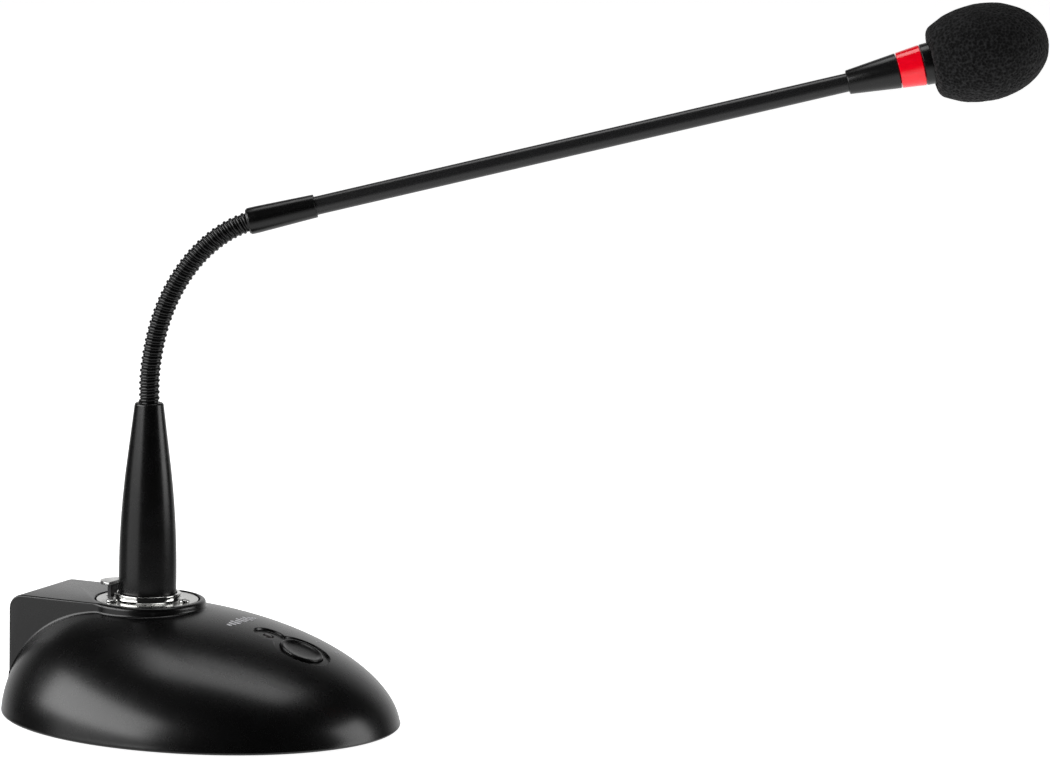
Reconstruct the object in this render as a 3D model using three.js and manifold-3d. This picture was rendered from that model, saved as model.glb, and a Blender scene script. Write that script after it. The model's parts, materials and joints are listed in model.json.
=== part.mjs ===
// A desk gooseneck microphone: a domed switch base, a plug-in mic unit with a bendable neck,
// a rigid boom, a head with a light ring and a foam windscreen.
//
// Millimetres, +Z up. The origin is on the desk, on the axis of the round socket that the mic
// unit plugs into. The nose of the base, with the talk button, points along -Y, and the flat
// rear panel, with the cable connector, faces +Y. X = 0 is the base's plane of symmetry.

import * as THREE from "three";
import { mergeVertices } from "three/addons/utils/BufferGeometryUtils.js";
import Module from "manifold-3d";

const wasm = await Module();
wasm.setup();

// ---------------------------------------------------------------- driving dimensions

const GAP = 0.3; // clearance between pieces that touch in the real thing
const CUT = 5; // how far a cutter runs past the face it opens
const DEG = Math.PI / 180;

// Domed base: level curves are one ellipse, scaled, whose centre shifts back as it rises.
const BASE_HALF_WIDTH = 57;
const BASE_HALF_LENGTH = 69.2;
const BASE_CENTRE_Y = -20.5;
const DOME_APEX_Y = 8.4;
const DOME_TOP = 38.4;
const DOME_RIM_POWER = 2.05;
const DOME_RISE_POWER = 1.87;
const SHELL_BOTTOM = 0.8;
const RIM_RADIUS = 1.5;
const WALL = 3;
const REAR_Y = 43.4;

// Rear block and round boss, one flat deck behind and around the socket.
const DECK_TOP = 39.3;
const BLOCK_WIDTH = 34.6;
const BLOCK_CORNER = 5;
const BLOCK_EDGE = 0.5;
const BOSS_RADIUS = 19.6;
const BOSS_EDGE = 1.3;

// Bottom closure.
const PAD_THICK = 1;
const PLATE_THICK = 2;
const PLATE_BOTTOM = PAD_THICK + GAP;
const PLATE_TOP = PLATE_BOTTOM + PLATE_THICK;
const PLATE_INSET = WALL + 1.5;
const POST_RADIUS = 4;
const POST_PLACES = [[-36, -44], [36, -44], [-31, 17], [31, 17]];
const BALLAST = { width: 58, length: 54, height: 9, centreY: -20, corner: 8 };

// Mic socket.
const FLANGE_RADIUS = 17.1;
const FLANGE_TOP = 39.1;
const FLANGE_THICK = 0.8;
const FLANGE_CLEARANCE = 0.55;
const GASKET_THICK = 0.4;
const COLLAR_RADIUS = 11.1;
const COLLAR_TOP = 41.4;
const SOCKET_BORE = 9.95;
const SOCKET_BODY_RADIUS = 11.6;
const SOCKET_BOTTOM = 19;
const CONTACT_CIRCLE = 4;
const CONTACT_ANGLES = [30, 150, 270];
const FLANGE_SCREW_CIRCLE = 13.9;
const FLANGE_SCREW_ANGLES = [30, 150, 270];
const PIN_RADIUS = 1.1;

// Release tab.
const TAB_RADIUS = 5.7;
const TAB_Y = 11.6;
const TAB_TOP = 44.2;
const TAB_THICK = 1;
const TAB_STEM = { width: 6, thick: 1.2, y: 13, bottom: 29 };

// Talk button, on a frame tilted with the dome.
const BUTTON_Y = -58.5;
const BUTTON_Z = 27.3;
const BUTTON_TILT = 22;
const BUTTON_RADIUS = 7.4;
const BUTTON_RECESS_RADIUS = 9.9;
const LOBE_RADIUS = 5.3;
const LOBE_OFFSET = 13;
const RECESS_DEPTH = 1.2;
const BOARD_DEPTH = 10.7;
const BOARD = { width: 32, length: 34, thick: 1.6 };
const BOARD_POST_X = 12.4;
const LENS_RADIUS = 1.55;

// Cable connector in the rear panel.
const OUTPUT_Z = 18.7;
const OUTPUT_PLATE = { width: 26, height: 31, corner: 2, thick: 1.8 };
const OUTPUT_HEAD = { radius: 2.6, height: 0.75, sink: 0.85 }; // its screws' heads, sunk under the face
const OUTPUT_BODY_RADIUS = 11.6;
const OUTPUT_CAVITY_RADIUS = 9.6;
const OUTPUT_CAVITY_DEPTH = 17;
const OUTPUT_BODY_LENGTH = 24;
const OUTPUT_SCREW = { x: 9.6, z: 12 };

// Mic unit: sleeve and plug.
const SLEEVE_BOTTOM = 41;
const SLEEVE_TOP = 105.5;
const SLEEVE_RADIUS = 9.65;
const SLEEVE_TOP_RADIUS = 4.88;
const SLEEVE_TAPER = 0.12;
const PLUG_RADIUS = 9.45;
const PLUG_BORE = 8.2;
const PLUG_BOTTOM = 22.9;

// Bendable neck: NECK_LINKS joints, each bent by the same angle, links shortening upwards.
const ARM_HEADING = -65; // plan direction of the boom, from +X
const NECK_LINKS = 7;
const NECK_BEND = 75.75 / NECK_LINKS;
const NECK_FIRST_JOINT = 117.1;
const NECK_LINK = 14.9;
const NECK_LINK_RATIO = 0.849;
const NECK_RADIUS = 3.35;
const NECK_END_SLOPE = 8.5; // conical ends leave room for the bend

// Boom and head, measured along the boom from the last neck joint.
const FERRULE = { start: 0.2, length: 23.3, radius: 4.45, endRadius: 3.9 };
const TUBE_RADIUS = 3.1;
const TUBE_WALL = 0.8;
const HEAD_START = FERRULE.start + FERRULE.length + 180.5;
const HEAD_SMALL_RADIUS = 4.0;
const HEAD_SLOPE = 0.111;
const RING_START = 17.2; // from here on, places are counted from the head's small end
const RING_LENGTH = 8.2;
const NECK_COLLAR_END = 34;
const CAPSULE_HOUSING_RADIUS = 7;
const GRILLE_LENGTH = 15;
const FOAM = { start: 28.4, rear: 23.3, front: 21.7, belly: 17.5, radius: 16.2, bore: 7.4, depth: 22 };

// ---------------------------------------------------------------- helpers

// A solid from a three.js geometry, for joining and cutting.
function solid(geometry) {
  const bare = geometry.index ? geometry.toNonIndexed() : geometry.clone();
  bare.deleteAttribute("normal");
  bare.deleteAttribute("uv");
  const merged = mergeVertices(bare, 1e-4);
  const index = merged.index.array;
  const faces = [];
  for (let i = 0; i < index.length; i += 3) {
    const [a, b, c] = [index[i], index[i + 1], index[i + 2]];
    if (a !== b && b !== c && c !== a) faces.push(a, b, c);
  }
  return new wasm.Manifold(new wasm.Mesh({
    numProp: 3,
    vertProperties: merged.attributes.position.array,
    triVerts: new Uint32Array(faces),
  }));
}

// A three.js geometry from a solid.
function surface(body) {
  const mesh = body.getMesh();
  const geometry = new THREE.BufferGeometry();
  const places = new Float32Array(mesh.numVert * 3);
  for (let i = 0; i < mesh.numVert; i += 1) {
    places.set(mesh.vertProperties.subarray(i * mesh.numProp, i * mesh.numProp + 3), i * 3);
  }
  geometry.setAttribute("position", new THREE.BufferAttribute(places, 3));
  geometry.setIndex(new THREE.BufferAttribute(mesh.triVerts, 1));
  geometry.computeVertexNormals();
  return geometry;
}

// A solid of revolution about +Z from [radius, z] points or a THREE.Path in the same plane.
function turned(outline, sides = 24) {
  const points = Array.isArray(outline)
    ? outline.map(([r, z]) => new THREE.Vector2(r, z))
    : outline.getPoints(3);
  return new THREE.LatheGeometry(points, sides).rotateX(Math.PI / 2);
}

// A closed ring profile: inner and outer radius between two heights.
function ringProfile(inner, outer, bottom, top) {
  return [[inner, bottom], [outer, bottom], [outer, top], [inner, top], [inner, bottom]];
}

function disc(radius, bottom, top, x = 0, y = 0, sides = 24) {
  return turned([[0, bottom], [radius, bottom], [radius, top], [0, top]], sides).translate(x, y, 0);
}

function block(width, length, height, x, y, z) {
  return new THREE.BoxGeometry(width, length, height).translate(x, y, z);
}

function roundedRectangle(width, length, corner) {
  const [w, l] = [width / 2, length / 2];
  const shape = new THREE.Shape();
  shape.absarc(w - corner, l - corner, corner, 0, Math.PI / 2);
  shape.absarc(-w + corner, l - corner, corner, Math.PI / 2, Math.PI);
  shape.absarc(-w + corner, -l + corner, corner, Math.PI, 1.5 * Math.PI);
  shape.absarc(w - corner, -l + corner, corner, 1.5 * Math.PI, 2 * Math.PI);
  shape.closePath();
  return shape;
}

function onCircle(radius, degrees) {
  return [radius * Math.cos(degrees * DEG), radius * Math.sin(degrees * DEG)];
}

const finish = (color, roughness, metalness) => ({ color, roughness, metalness });
const SATIN_PLASTIC = finish(0x151517, 0.42, 0);
const SATIN_METAL = finish(0x121214, 0.38, 0.4);
const CHROME = finish(0xd6d8da, 0.12, 1);
const STEEL = finish(0x9a9da0, 0.35, 1);
const BRASS = finish(0xc9a24a, 0.3, 1);
const BLACK_RUBBER = finish(0x101010, 0.85, 0);
const INSULATOR = finish(0x1c1c1e, 0.55, 0);
const BOARD_GREEN = finish(0x1f5a36, 0.5, 0);
const RED_PLASTIC = finish(0xc4001c, 0.2, 0);
const DARK_LENS = finish(0x2a0d10, 0.15, 0);
const FOAM_BLACK = finish(0x141416, 1, 0);

function piece(parent, name, shape, look) {
  const geometry = shape.isBufferGeometry ? shape : surface(shape);
  const mesh = new THREE.Mesh(geometry, new THREE.MeshStandardMaterial(look));
  mesh.name = name;
  parent.add(mesh);
}

// ---------------------------------------------------------------- base shell

// The dome, or its hollow when it is drawn smaller by inset.
function domeSolid(inset, bottom, sides, rows) {
  const top = DOME_TOP - inset;
  const rimRound = inset ? 0 : RIM_RADIUS;
  const profile = [[0, bottom], [1 - rimRound / BASE_HALF_WIDTH, bottom]];
  for (let i = 1; i <= rows; i += 1) {
    const rho = Math.cos((i - 1) / rows * Math.PI / 2);
    const height = top * (1 - rho ** DOME_RIM_POWER) ** (1 / DOME_RISE_POWER);
    profile.push([rho, Math.max(height, bottom + rimRound)]);
  }
  profile.push([0, top]);
  const geometry = turned(profile, sides);
  const place = geometry.attributes.position;
  for (let i = 0; i < place.count; i += 1) {
    const [x, y, z] = [place.getX(i), place.getY(i), place.getZ(i)];
    const centre = DOME_APEX_Y + Math.hypot(x, y) * (BASE_CENTRE_Y - DOME_APEX_Y);
    place.setXYZ(i, x * (BASE_HALF_WIDTH - inset), centre + y * (BASE_HALF_LENGTH - inset), z);
  }
  return solid(geometry);
}

// The rear block: a side outline with one rounded corner, with a small edge round on both sides.
function blockSolid() {
  const [back, top] = [REAR_Y - BLOCK_EDGE, DECK_TOP - BLOCK_EDGE];
  const side = new THREE.Shape();
  side.moveTo(0, SHELL_BOTTOM + BLOCK_EDGE);
  side.lineTo(back, SHELL_BOTTOM + BLOCK_EDGE);
  side.lineTo(back, top - BLOCK_CORNER);
  side.absarc(back - BLOCK_CORNER, top - BLOCK_CORNER, BLOCK_CORNER, 0, Math.PI / 2);
  side.lineTo(0, top);
  side.closePath();
  const width = BLOCK_WIDTH - 2 * BLOCK_EDGE;
  const extruded = new THREE.ExtrudeGeometry(side, {
    depth: width, bevelThickness: BLOCK_EDGE, bevelSize: BLOCK_EDGE, bevelSegments: 1, curveSegments: 4,
  });
  // The outline's X is the base's Y, its Y is Z, and the extrusion runs along X.
  extruded.applyMatrix4(new THREE.Matrix4().set(0, 0, 1, -width / 2, 1, 0, 0, 0, 0, 1, 0, 0, 0, 0, 0, 1));
  return solid(extruded);
}

function bossSolid() {
  const path = new THREE.Path();
  path.moveTo(0, 15);
  path.lineTo(BOSS_RADIUS, 15);
  path.lineTo(BOSS_RADIUS, DECK_TOP - BOSS_EDGE);
  path.absarc(BOSS_RADIUS - BOSS_EDGE, DECK_TOP - BOSS_EDGE, BOSS_EDGE, 0, Math.PI / 2);
  path.lineTo(0, DECK_TOP);
  return solid(turned(path, 40));
}

// Where the button's frame stands: Z is the dome's normal, Y runs up the slope.
const buttonFrame = new THREE.Matrix4()
  .makeTranslation(0, BUTTON_Y, BUTTON_Z)
  .multiply(new THREE.Matrix4().makeRotationX(BUTTON_TILT * DEG));

const inButtonFrame = (geometry) => geometry.applyMatrix4(buttonFrame);

// Pieces of the cable connector are turned about Z, then laid down so that Z points to the rear.
const toRear = new THREE.Matrix4()
  .makeTranslation(0, 0, OUTPUT_Z)
  .multiply(new THREE.Matrix4().makeRotationX(-Math.PI / 2));
const OUTPUT_SCREWS = [[-OUTPUT_SCREW.x, -OUTPUT_SCREW.z], [OUTPUT_SCREW.x, OUTPUT_SCREW.z]];

// The slot for the release tab's stem, through the deck and the gasket.
const stemSlot = () => block(TAB_STEM.width + 1, TAB_STEM.thick + 1.4, 20, 0, TAB_STEM.y, 34);

// Cutters for everything that passes through the shell.
function shellOpenings() {
  const recess = FLANGE_TOP - FLANGE_THICK - GASKET_THICK - 2 * GAP;
  const [rearStart, rearEnd] = [REAR_Y - 8, REAR_Y + CUT];
  const socketBottom = 10;
  const underButton = -9;
  const cutters = [
    disc(FLANGE_RADIUS + FLANGE_CLEARANCE, recess, DECK_TOP + CUT, 0, 0, 40),
    disc(SOCKET_BODY_RADIUS + GAP, socketBottom, DECK_TOP, 0, 0, 32),
    stemSlot(),
    inButtonFrame(disc(BUTTON_RECESS_RADIUS, -RECESS_DEPTH, CUT, 0, 0, 36)),
    inButtonFrame(disc(LOBE_RADIUS, -RECESS_DEPTH, CUT, 0, LOBE_OFFSET, 24)),
    inButtonFrame(disc(BUTTON_RADIUS + GAP, underButton, 0, 0, 0, 32)),
    inButtonFrame(disc(LENS_RADIUS + GAP, underButton, 0, 0, LOBE_OFFSET, 14)),
    disc(OUTPUT_BODY_RADIUS + GAP, rearStart, rearEnd, 0, 0, 28).applyMatrix4(toRear),
  ];
  OUTPUT_SCREWS.forEach(([x, z]) => {
    cutters.push(disc(1.5, rearStart, rearEnd, x, z, 10).applyMatrix4(toRear));
  });
  FLANGE_SCREW_ANGLES.forEach((angle) => {
    cutters.push(disc(1.2, 28, DECK_TOP, ...onCircle(FLANGE_SCREW_CIRCLE, angle), 10));
  });
  return cutters;
}

function baseShell() {
  const behind = (y) => solid(block(200, 40, 100, 0, y + 20, 40));
  let shell = domeSolid(0, SHELL_BOTTOM, 52, 10).add(blockSolid()).add(bossSolid());
  shell = shell.subtract(behind(REAR_Y));
  const [hollowStart, hollowEnd] = [-5, REAR_Y - WALL];
  const hollowLength = hollowEnd - hollowStart;
  const hollowBlock = block(BLOCK_WIDTH - 2 * WALL, hollowLength, 60, 0, hollowStart + hollowLength / 2, 0)
    .translate(0, 0, DECK_TOP - WALL - 30);
  let hollow = domeSolid(WALL, -CUT, 32, 7).subtract(behind(hollowEnd)).add(solid(hollowBlock));
  // The boss stays solid down to a skirt, so that the flange screws have something to bite.
  hollow = hollow.subtract(solid(disc(BOSS_RADIUS - 1, 27, DECK_TOP, 0, 0, 28)));
  shell = shell.subtract(hollow);
  POST_PLACES.forEach(([x, y]) => {
    const column = solid(disc(POST_RADIUS, PLATE_TOP + GAP, DOME_TOP, x, y, 12));
    const post = column.intersect(domeSolid(1, -CUT, 28, 6));
    shell = shell.add(post).subtract(solid(disc(1.75, 0, 14, x, y, 10)));
  });
  [-BOARD_POST_X, BOARD_POST_X].forEach((x) => {
    const post = solid(inButtonFrame(disc(2.6, -BOARD_DEPTH + GAP, -1.6, x, 0, 12)));
    shell = shell.add(post).subtract(solid(inButtonFrame(disc(1.3, -BOARD_DEPTH, -5, x, 0, 10))));
  });
  shellOpenings().forEach((cutter) => {
    shell = shell.subtract(solid(cutter));
  });
  return shell;
}

// ---------------------------------------------------------------- bottom closure

// The base's plan outline, drawn smaller by inset and cut straight at the rear, as a flat plate.
function footprint(inset, rearInset, bottom, thick, holeRadius) {
  const outline = new THREE.Shape();
  const [a, b] = [BASE_HALF_WIDTH - inset, BASE_HALF_LENGTH - inset];
  const cutY = REAR_Y - rearInset - BASE_CENTRE_Y;
  const cutAngle = Math.asin(cutY / b);
  outline.absellipse(0, BASE_CENTRE_Y, a, b, Math.PI - cutAngle, 2 * Math.PI + cutAngle);
  outline.closePath();
  POST_PLACES.forEach(([x, y]) => {
    outline.holes.push(new THREE.Path().absarc(x, y, holeRadius, 0, 2 * Math.PI, true));
  });
  return new THREE.ExtrudeGeometry(outline, { depth: thick, bevelEnabled: false, curveSegments: 12 })
    .translate(0, 0, bottom);
}

function bottomClosure(base) {
  piece(base, "rest_pad", footprint(PLATE_INSET + 1, WALL + 1.5, 0, PAD_THICK, 4.2), BLACK_RUBBER);
  piece(base, "base_plate", footprint(PLATE_INSET, WALL + 0.6, PLATE_BOTTOM, PLATE_THICK, 1.9), STEEL);
  const { width, length, height, centreY, corner } = BALLAST;
  const ballast = new THREE.ExtrudeGeometry(roundedRectangle(width, length, corner), {
    depth: height - 1, bevelThickness: 0.5, bevelSize: 0.5, bevelSegments: 1, curveSegments: 3,
  });
  piece(base, "ballast_block", ballast.translate(0, centreY, PLATE_TOP + GAP + 0.5), STEEL);
  POST_PLACES.forEach(([x, y], i) => {
    const screw = [[0, 0.25], [2.4, 0.25], [2.9, 0.5], [2.9, 1], [1.4, 1], [1.4, 12.5], [0, 13.2]];
    piece(base, "plate_screw_" + (i + 1), turned(screw, 10).translate(x, y, 0), STEEL);
  });
}

// ---------------------------------------------------------------- mic socket in the deck

function socketShell() {
  const underFlange = FLANGE_TOP - FLANGE_THICK;
  const profile = [
    [SOCKET_BORE, SOCKET_BOTTOM], [SOCKET_BODY_RADIUS, SOCKET_BOTTOM], [SOCKET_BODY_RADIUS, underFlange],
    [FLANGE_RADIUS, underFlange], [FLANGE_RADIUS, FLANGE_TOP - 0.2], [FLANGE_RADIUS - 0.2, FLANGE_TOP],
    [COLLAR_RADIUS + 0.3, FLANGE_TOP], [COLLAR_RADIUS, FLANGE_TOP + 0.3], [COLLAR_RADIUS, COLLAR_TOP - 0.4],
    [COLLAR_RADIUS - 0.4, COLLAR_TOP], [SOCKET_BORE + 0.3, COLLAR_TOP], [SOCKET_BORE, COLLAR_TOP - 0.3],
    [SOCKET_BORE, SOCKET_BOTTOM],
  ];
  let shell = solid(turned(profile, 32));
  FLANGE_SCREW_ANGLES.forEach((angle) => {
    const [x, y] = onCircle(FLANGE_SCREW_CIRCLE, angle);
    shell = shell.subtract(solid(disc(1.45, 30, 45, x, y, 10)));
  });
  const stemNotch = block(TAB_STEM.width + 0.8, TAB_STEM.thick + 0.8, 20, 0, TAB_STEM.y + 0.2, 40);
  return shell.subtract(solid(stemNotch));
}

// A flat insulating disc with a nose, pierced for three contacts.
function insertSolid(profile, holeRadius, low, high) {
  let body = solid(turned(profile, 28));
  CONTACT_ANGLES.forEach((angle) => {
    body = body.subtract(solid(disc(holeRadius, low, high, ...onCircle(CONTACT_CIRCLE, angle), 12)));
  });
  return body;
}

function micSocket(base) {
  piece(base, "socket_shell", socketShell(), CHROME);
  const gasketBottom = FLANGE_TOP - FLANGE_THICK - GAP - GASKET_THICK;
  const gasketTop = gasketBottom + GASKET_THICK;
  const washer = ringProfile(SOCKET_BODY_RADIUS + GAP, FLANGE_RADIUS, gasketBottom, gasketTop);
  let gasket = solid(turned(washer, 32)).subtract(solid(stemSlot()));
  FLANGE_SCREW_ANGLES.forEach((angle, i) => {
    const [x, y] = onCircle(FLANGE_SCREW_CIRCLE, angle);
    gasket = gasket.subtract(solid(disc(1.5, 30, 45, x, y, 10)));
    const head = FLANGE_TOP + GAP;
    const screw = [[0, 32], [0.85, 32.6], [0.85, head], [1.9, head], [1.9, head + 0.3],
      [1.5, head + 0.6], [0, head + 0.75]];
    piece(base, "flange_screw_" + (i + 1), turned(screw, 10).translate(x, y, 0), STEEL);
  });
  piece(base, "flange_gasket", gasket, BLACK_RUBBER);

  const [low, shoulder, nose] = [SOCKET_BOTTOM + 0.5, 22.3, 36];
  const insert = [[0, low], [SOCKET_BORE - GAP, low], [SOCKET_BORE - GAP, shoulder],
    [PLUG_BORE - 0.4, shoulder], [PLUG_BORE - 0.4, nose - 0.4], [PLUG_BORE - 0.8, nose], [0, nose]];
  piece(base, "socket_insert", insertSolid(insert, 2.3, 10, 50), INSULATOR);
  CONTACT_ANGLES.forEach((angle, i) => {
    const contact = [[0, 17], [1, 17], [2, 18], [2, 35.5], [1.45, 35.5], [1.45, 22], [0, 22]];
    const [x, y] = onCircle(CONTACT_CIRCLE, angle);
    piece(base, "socket_contact_" + (i + 1), turned(contact, 10).translate(x, y, 0), BRASS);
  });
}

function releaseTab(base) {
  const top = new THREE.Shape();
  top.moveTo(-TAB_RADIUS, 0);
  top.lineTo(TAB_RADIUS, 0);
  top.absarc(0, 0, TAB_RADIUS, 0, Math.PI);
  const plate = new THREE.ExtrudeGeometry(top, {
    depth: TAB_THICK - 0.4, bevelThickness: 0.2, bevelSize: 0.2, bevelSegments: 1, curveSegments: 8,
  }).translate(0, TAB_Y, TAB_TOP - TAB_THICK + 0.2);
  const stemTop = TAB_TOP - TAB_THICK / 2;
  const { width, thick, y, bottom } = TAB_STEM;
  const stem = block(width, thick, stemTop - bottom, 0, y, (stemTop + bottom) / 2);
  piece(base, "release_tab", solid(plate).add(solid(stem)), CHROME);
}

// ---------------------------------------------------------------- talk button and its board

function talkButton(base) {
  const frame = new THREE.Group();
  frame.applyMatrix4(buttonFrame);
  base.add(frame);

  const cap = new THREE.Path();
  const dishEdge = BUTTON_RADIUS - 1.3;
  cap.moveTo(0, -5);
  cap.lineTo(BUTTON_RADIUS - 1.2, -5);
  cap.lineTo(BUTTON_RADIUS, -4.4);
  cap.lineTo(BUTTON_RADIUS, -0.3);
  cap.absarc(BUTTON_RADIUS - 0.6, -0.3, 0.6, 0, Math.PI / 2);
  cap.lineTo(dishEdge, 0.3);
  cap.quadraticCurveTo(dishEdge - 0.5, -0.35, 0, -0.6);
  piece(frame, "talk_button", turned(cap, 28), SATIN_PLASTIC);

  const boardBottom = -BOARD_DEPTH - BOARD.thick;
  const outline = roundedRectangle(BOARD.width, BOARD.length, 2);
  [-BOARD_POST_X, BOARD_POST_X].forEach((x) => {
    outline.holes.push(new THREE.Path().absarc(x, 0, 1.3, 0, 2 * Math.PI, true));
  });
  const board = new THREE.ExtrudeGeometry(outline, {
    depth: BOARD.thick, bevelEnabled: false, curveSegments: 3,
  });
  piece(frame, "circuit_board", board.translate(0, 0, boardBottom), BOARD_GREEN);

  const switchTop = -BOARD_DEPTH + GAP + 2.6;
  const switchBody = solid(block(6, 6, 2.6, 0, 0, switchTop - 1.3));
  const plunger = solid(disc(1.6, switchTop - 0.5, switchTop + 1, 0, 0, 14));
  piece(frame, "switch_body", switchBody.add(plunger), STEEL);
  [-BOARD_POST_X, BOARD_POST_X].forEach((x, i) => {
    const head = boardBottom - GAP;
    const screw = [[0, head - 1.4], [2, head - 1.2], [2.2, head], [0.95, head], [0.95, -6], [0, -5.5]];
    piece(frame, "board_screw_" + (i + 1), turned(screw, 10).translate(x, 0, 0), STEEL);
  });
  const lensFoot = -BOARD_DEPTH + GAP;
  const lens = [[0, lensFoot], [LENS_RADIUS, lensFoot], [LENS_RADIUS, -1.7], [1.1, -1.35], [0, -1.2]];
  piece(frame, "status_lens", turned(lens, 12).translate(0, LOBE_OFFSET, 0), DARK_LENS);
}

// ---------------------------------------------------------------- cable connector in the rear panel

function cableConnector(base) {
  const faceStart = REAR_Y + GAP;
  const faceEnd = faceStart + OUTPUT_PLATE.thick;
  const back = REAR_Y - OUTPUT_BODY_LENGTH;
  const plateShape = roundedRectangle(OUTPUT_PLATE.width, OUTPUT_PLATE.height, OUTPUT_PLATE.corner);
  const plate = new THREE.ExtrudeGeometry(plateShape, {
    depth: OUTPUT_PLATE.thick - 0.3, bevelThickness: 0.15, bevelSize: 0.15, bevelOffset: -0.15,
    bevelSegments: 1, curveSegments: 3,
  }).translate(0, 0, faceStart + 0.15);
  let shell = solid(plate).add(solid(disc(OUTPUT_BODY_RADIUS, back, faceStart + 0.5, 0, 0, 28)));
  shell = shell.subtract(solid(disc(OUTPUT_CAVITY_RADIUS, back - CUT, faceEnd + CUT, 0, 0, 28)));
  OUTPUT_SCREWS.forEach(([x, z]) => {
    shell = shell.subtract(solid(disc(1.75, REAR_Y - CUT, faceEnd + CUT, x, z, 10)));
    const sunk = faceEnd - OUTPUT_HEAD.sink - GAP;
    shell = shell.subtract(solid(disc(OUTPUT_HEAD.radius + GAP, sunk, faceEnd + CUT, x, z, 16)));
  });
  piece(base, "output_shell", surface(shell).applyMatrix4(toRear), SATIN_METAL);

  const insertFront = faceEnd - OUTPUT_CAVITY_DEPTH;
  const insertBack = insertFront - 5;
  const radius = OUTPUT_CAVITY_RADIUS - GAP;
  const profile = [[0, insertBack], [radius, insertBack], [radius, insertFront], [0, insertFront]];
  const insert = insertSolid(profile, PIN_RADIUS + GAP, 0, 60);
  piece(base, "output_insert", surface(insert).applyMatrix4(toRear), INSULATOR);
  CONTACT_ANGLES.forEach((angle, i) => {
    const tip = insertFront + 10.5;
    const pin = [[0, insertBack - 3], [PIN_RADIUS, insertBack - 3], [PIN_RADIUS, tip - 1],
      [PIN_RADIUS * 0.6, tip], [0, tip]];
    const [x, y] = onCircle(CONTACT_CIRCLE, angle);
    piece(base, "output_pin_" + (i + 1), turned(pin, 10).translate(x, y, 0).applyMatrix4(toRear), BRASS);
  });
  OUTPUT_SCREWS.forEach(([x, z], i) => {
    const seat = faceEnd - OUTPUT_HEAD.sink;
    const { radius: rim, height } = OUTPUT_HEAD;
    const screw = [[0, seat - 7.5], [1.2, seat - 7], [1.2, seat], [rim, seat], [rim, seat + height * 0.6],
      [rim - 0.4, seat + height], [0, seat + height]];
    const placed = turned(screw, 10).translate(x, z, 0).applyMatrix4(toRear);
    piece(base, "output_screw_" + (i + 1), placed, STEEL);
  });
}

// ---------------------------------------------------------------- mic unit: plug and sleeve

function sleeveSolid() {
  const coneStart = SLEEVE_TOP - (SLEEVE_RADIUS - SLEEVE_TOP_RADIUS) / SLEEVE_TAPER;
  const blend = 18; // half the height over which the straight foot turns into the cone
  const shoulder = 1;
  const path = new THREE.Path();
  path.moveTo(8.9, SLEEVE_BOTTOM);
  path.lineTo(SLEEVE_RADIUS - 0.25, SLEEVE_BOTTOM);
  path.lineTo(SLEEVE_RADIUS, SLEEVE_BOTTOM + 0.25);
  path.lineTo(SLEEVE_RADIUS, coneStart - blend);
  path.quadraticCurveTo(SLEEVE_RADIUS, coneStart, SLEEVE_RADIUS - SLEEVE_TAPER * blend, coneStart + blend);
  path.lineTo(SLEEVE_TOP_RADIUS, SLEEVE_TOP - shoulder);
  path.absarc(SLEEVE_TOP_RADIUS - shoulder * 0.9, SLEEVE_TOP - shoulder, shoulder * 0.9, 0, Math.PI / 2);
  path.lineTo(NECK_RADIUS + 0.3, SLEEVE_TOP - 0.2);
  path.lineTo(NECK_RADIUS + 0.3, SLEEVE_TOP - 14);
  path.lineTo(8.9, SLEEVE_BOTTOM + 20);
  path.lineTo(8.9, SLEEVE_BOTTOM);
  return turned(path, 28);
}

function micUnit(unit) {
  piece(unit, "plug_sleeve", sleeveSolid(), SATIN_METAL);
  const waist = SLEEVE_BOTTOM - GAP;
  const barrel = [[PLUG_BORE, PLUG_BOTTOM], [PLUG_RADIUS - 0.3, PLUG_BOTTOM],
    [PLUG_RADIUS, PLUG_BOTTOM + 0.3], [PLUG_RADIUS, waist], [8.55, waist], [8.55, 47], [7.6, 47],
    [7.6, 42.5], [PLUG_BORE, 42.2],
    [PLUG_BORE, PLUG_BOTTOM]];
  piece(unit, "plug_barrel", turned(barrel, 28), CHROME);
  const face = 36.4;
  const insert = [[0, face], [PLUG_BORE - GAP, face], [PLUG_BORE - GAP, 41.5], [0, 41.5]];
  piece(unit, "plug_insert", insertSolid(insert, PIN_RADIUS + GAP, 30, 50), INSULATOR);
  CONTACT_ANGLES.forEach((angle, i) => {
    const pin = [[0, 23.5], [PIN_RADIUS * 0.6, 23.5], [PIN_RADIUS, 24.5], [PIN_RADIUS, 44.5], [0, 44.5]];
    const [x, y] = onCircle(CONTACT_CIRCLE, angle);
    piece(unit, "plug_pin_" + (i + 1), turned(pin, 10).translate(x, y, 0), BRASS);
  });
}

// ---------------------------------------------------------------- bendable neck

// One link of the neck, from z = low to z = high, with conical ends round its joints.
function neckLink(low, high, flatLow = false) {
  const drop = NECK_RADIUS * Math.tan(NECK_END_SLOPE * DEG);
  const [start, end] = [low + (flatLow ? 0 : GAP / 2), high - GAP / 2];
  const lowShoulder = start + (flatLow ? 0 : drop);
  return turned([[0, start], [NECK_RADIUS, lowShoulder], [NECK_RADIUS, end - drop], [0, end]], 18);
}

// Adds the links one after another, each in a group turned about its joint, and returns the last group.
function bendableNeck(arm) {
  piece(arm, "neck_link_0", neckLink(SLEEVE_TOP - 8, NECK_FIRST_JOINT, true), SATIN_METAL);
  let parent = arm;
  let rise = NECK_FIRST_JOINT;
  for (let i = 1; i <= NECK_LINKS; i += 1) {
    const joint = new THREE.Group();
    joint.position.z = rise;
    joint.rotation.y = NECK_BEND * DEG;
    parent.add(joint);
    parent = joint;
    if (i < NECK_LINKS) {
      rise = NECK_LINK * NECK_LINK_RATIO ** (i - 1);
      piece(joint, "neck_link_" + i, neckLink(0, rise), SATIN_METAL);
    }
  }
  return parent;
}

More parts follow.
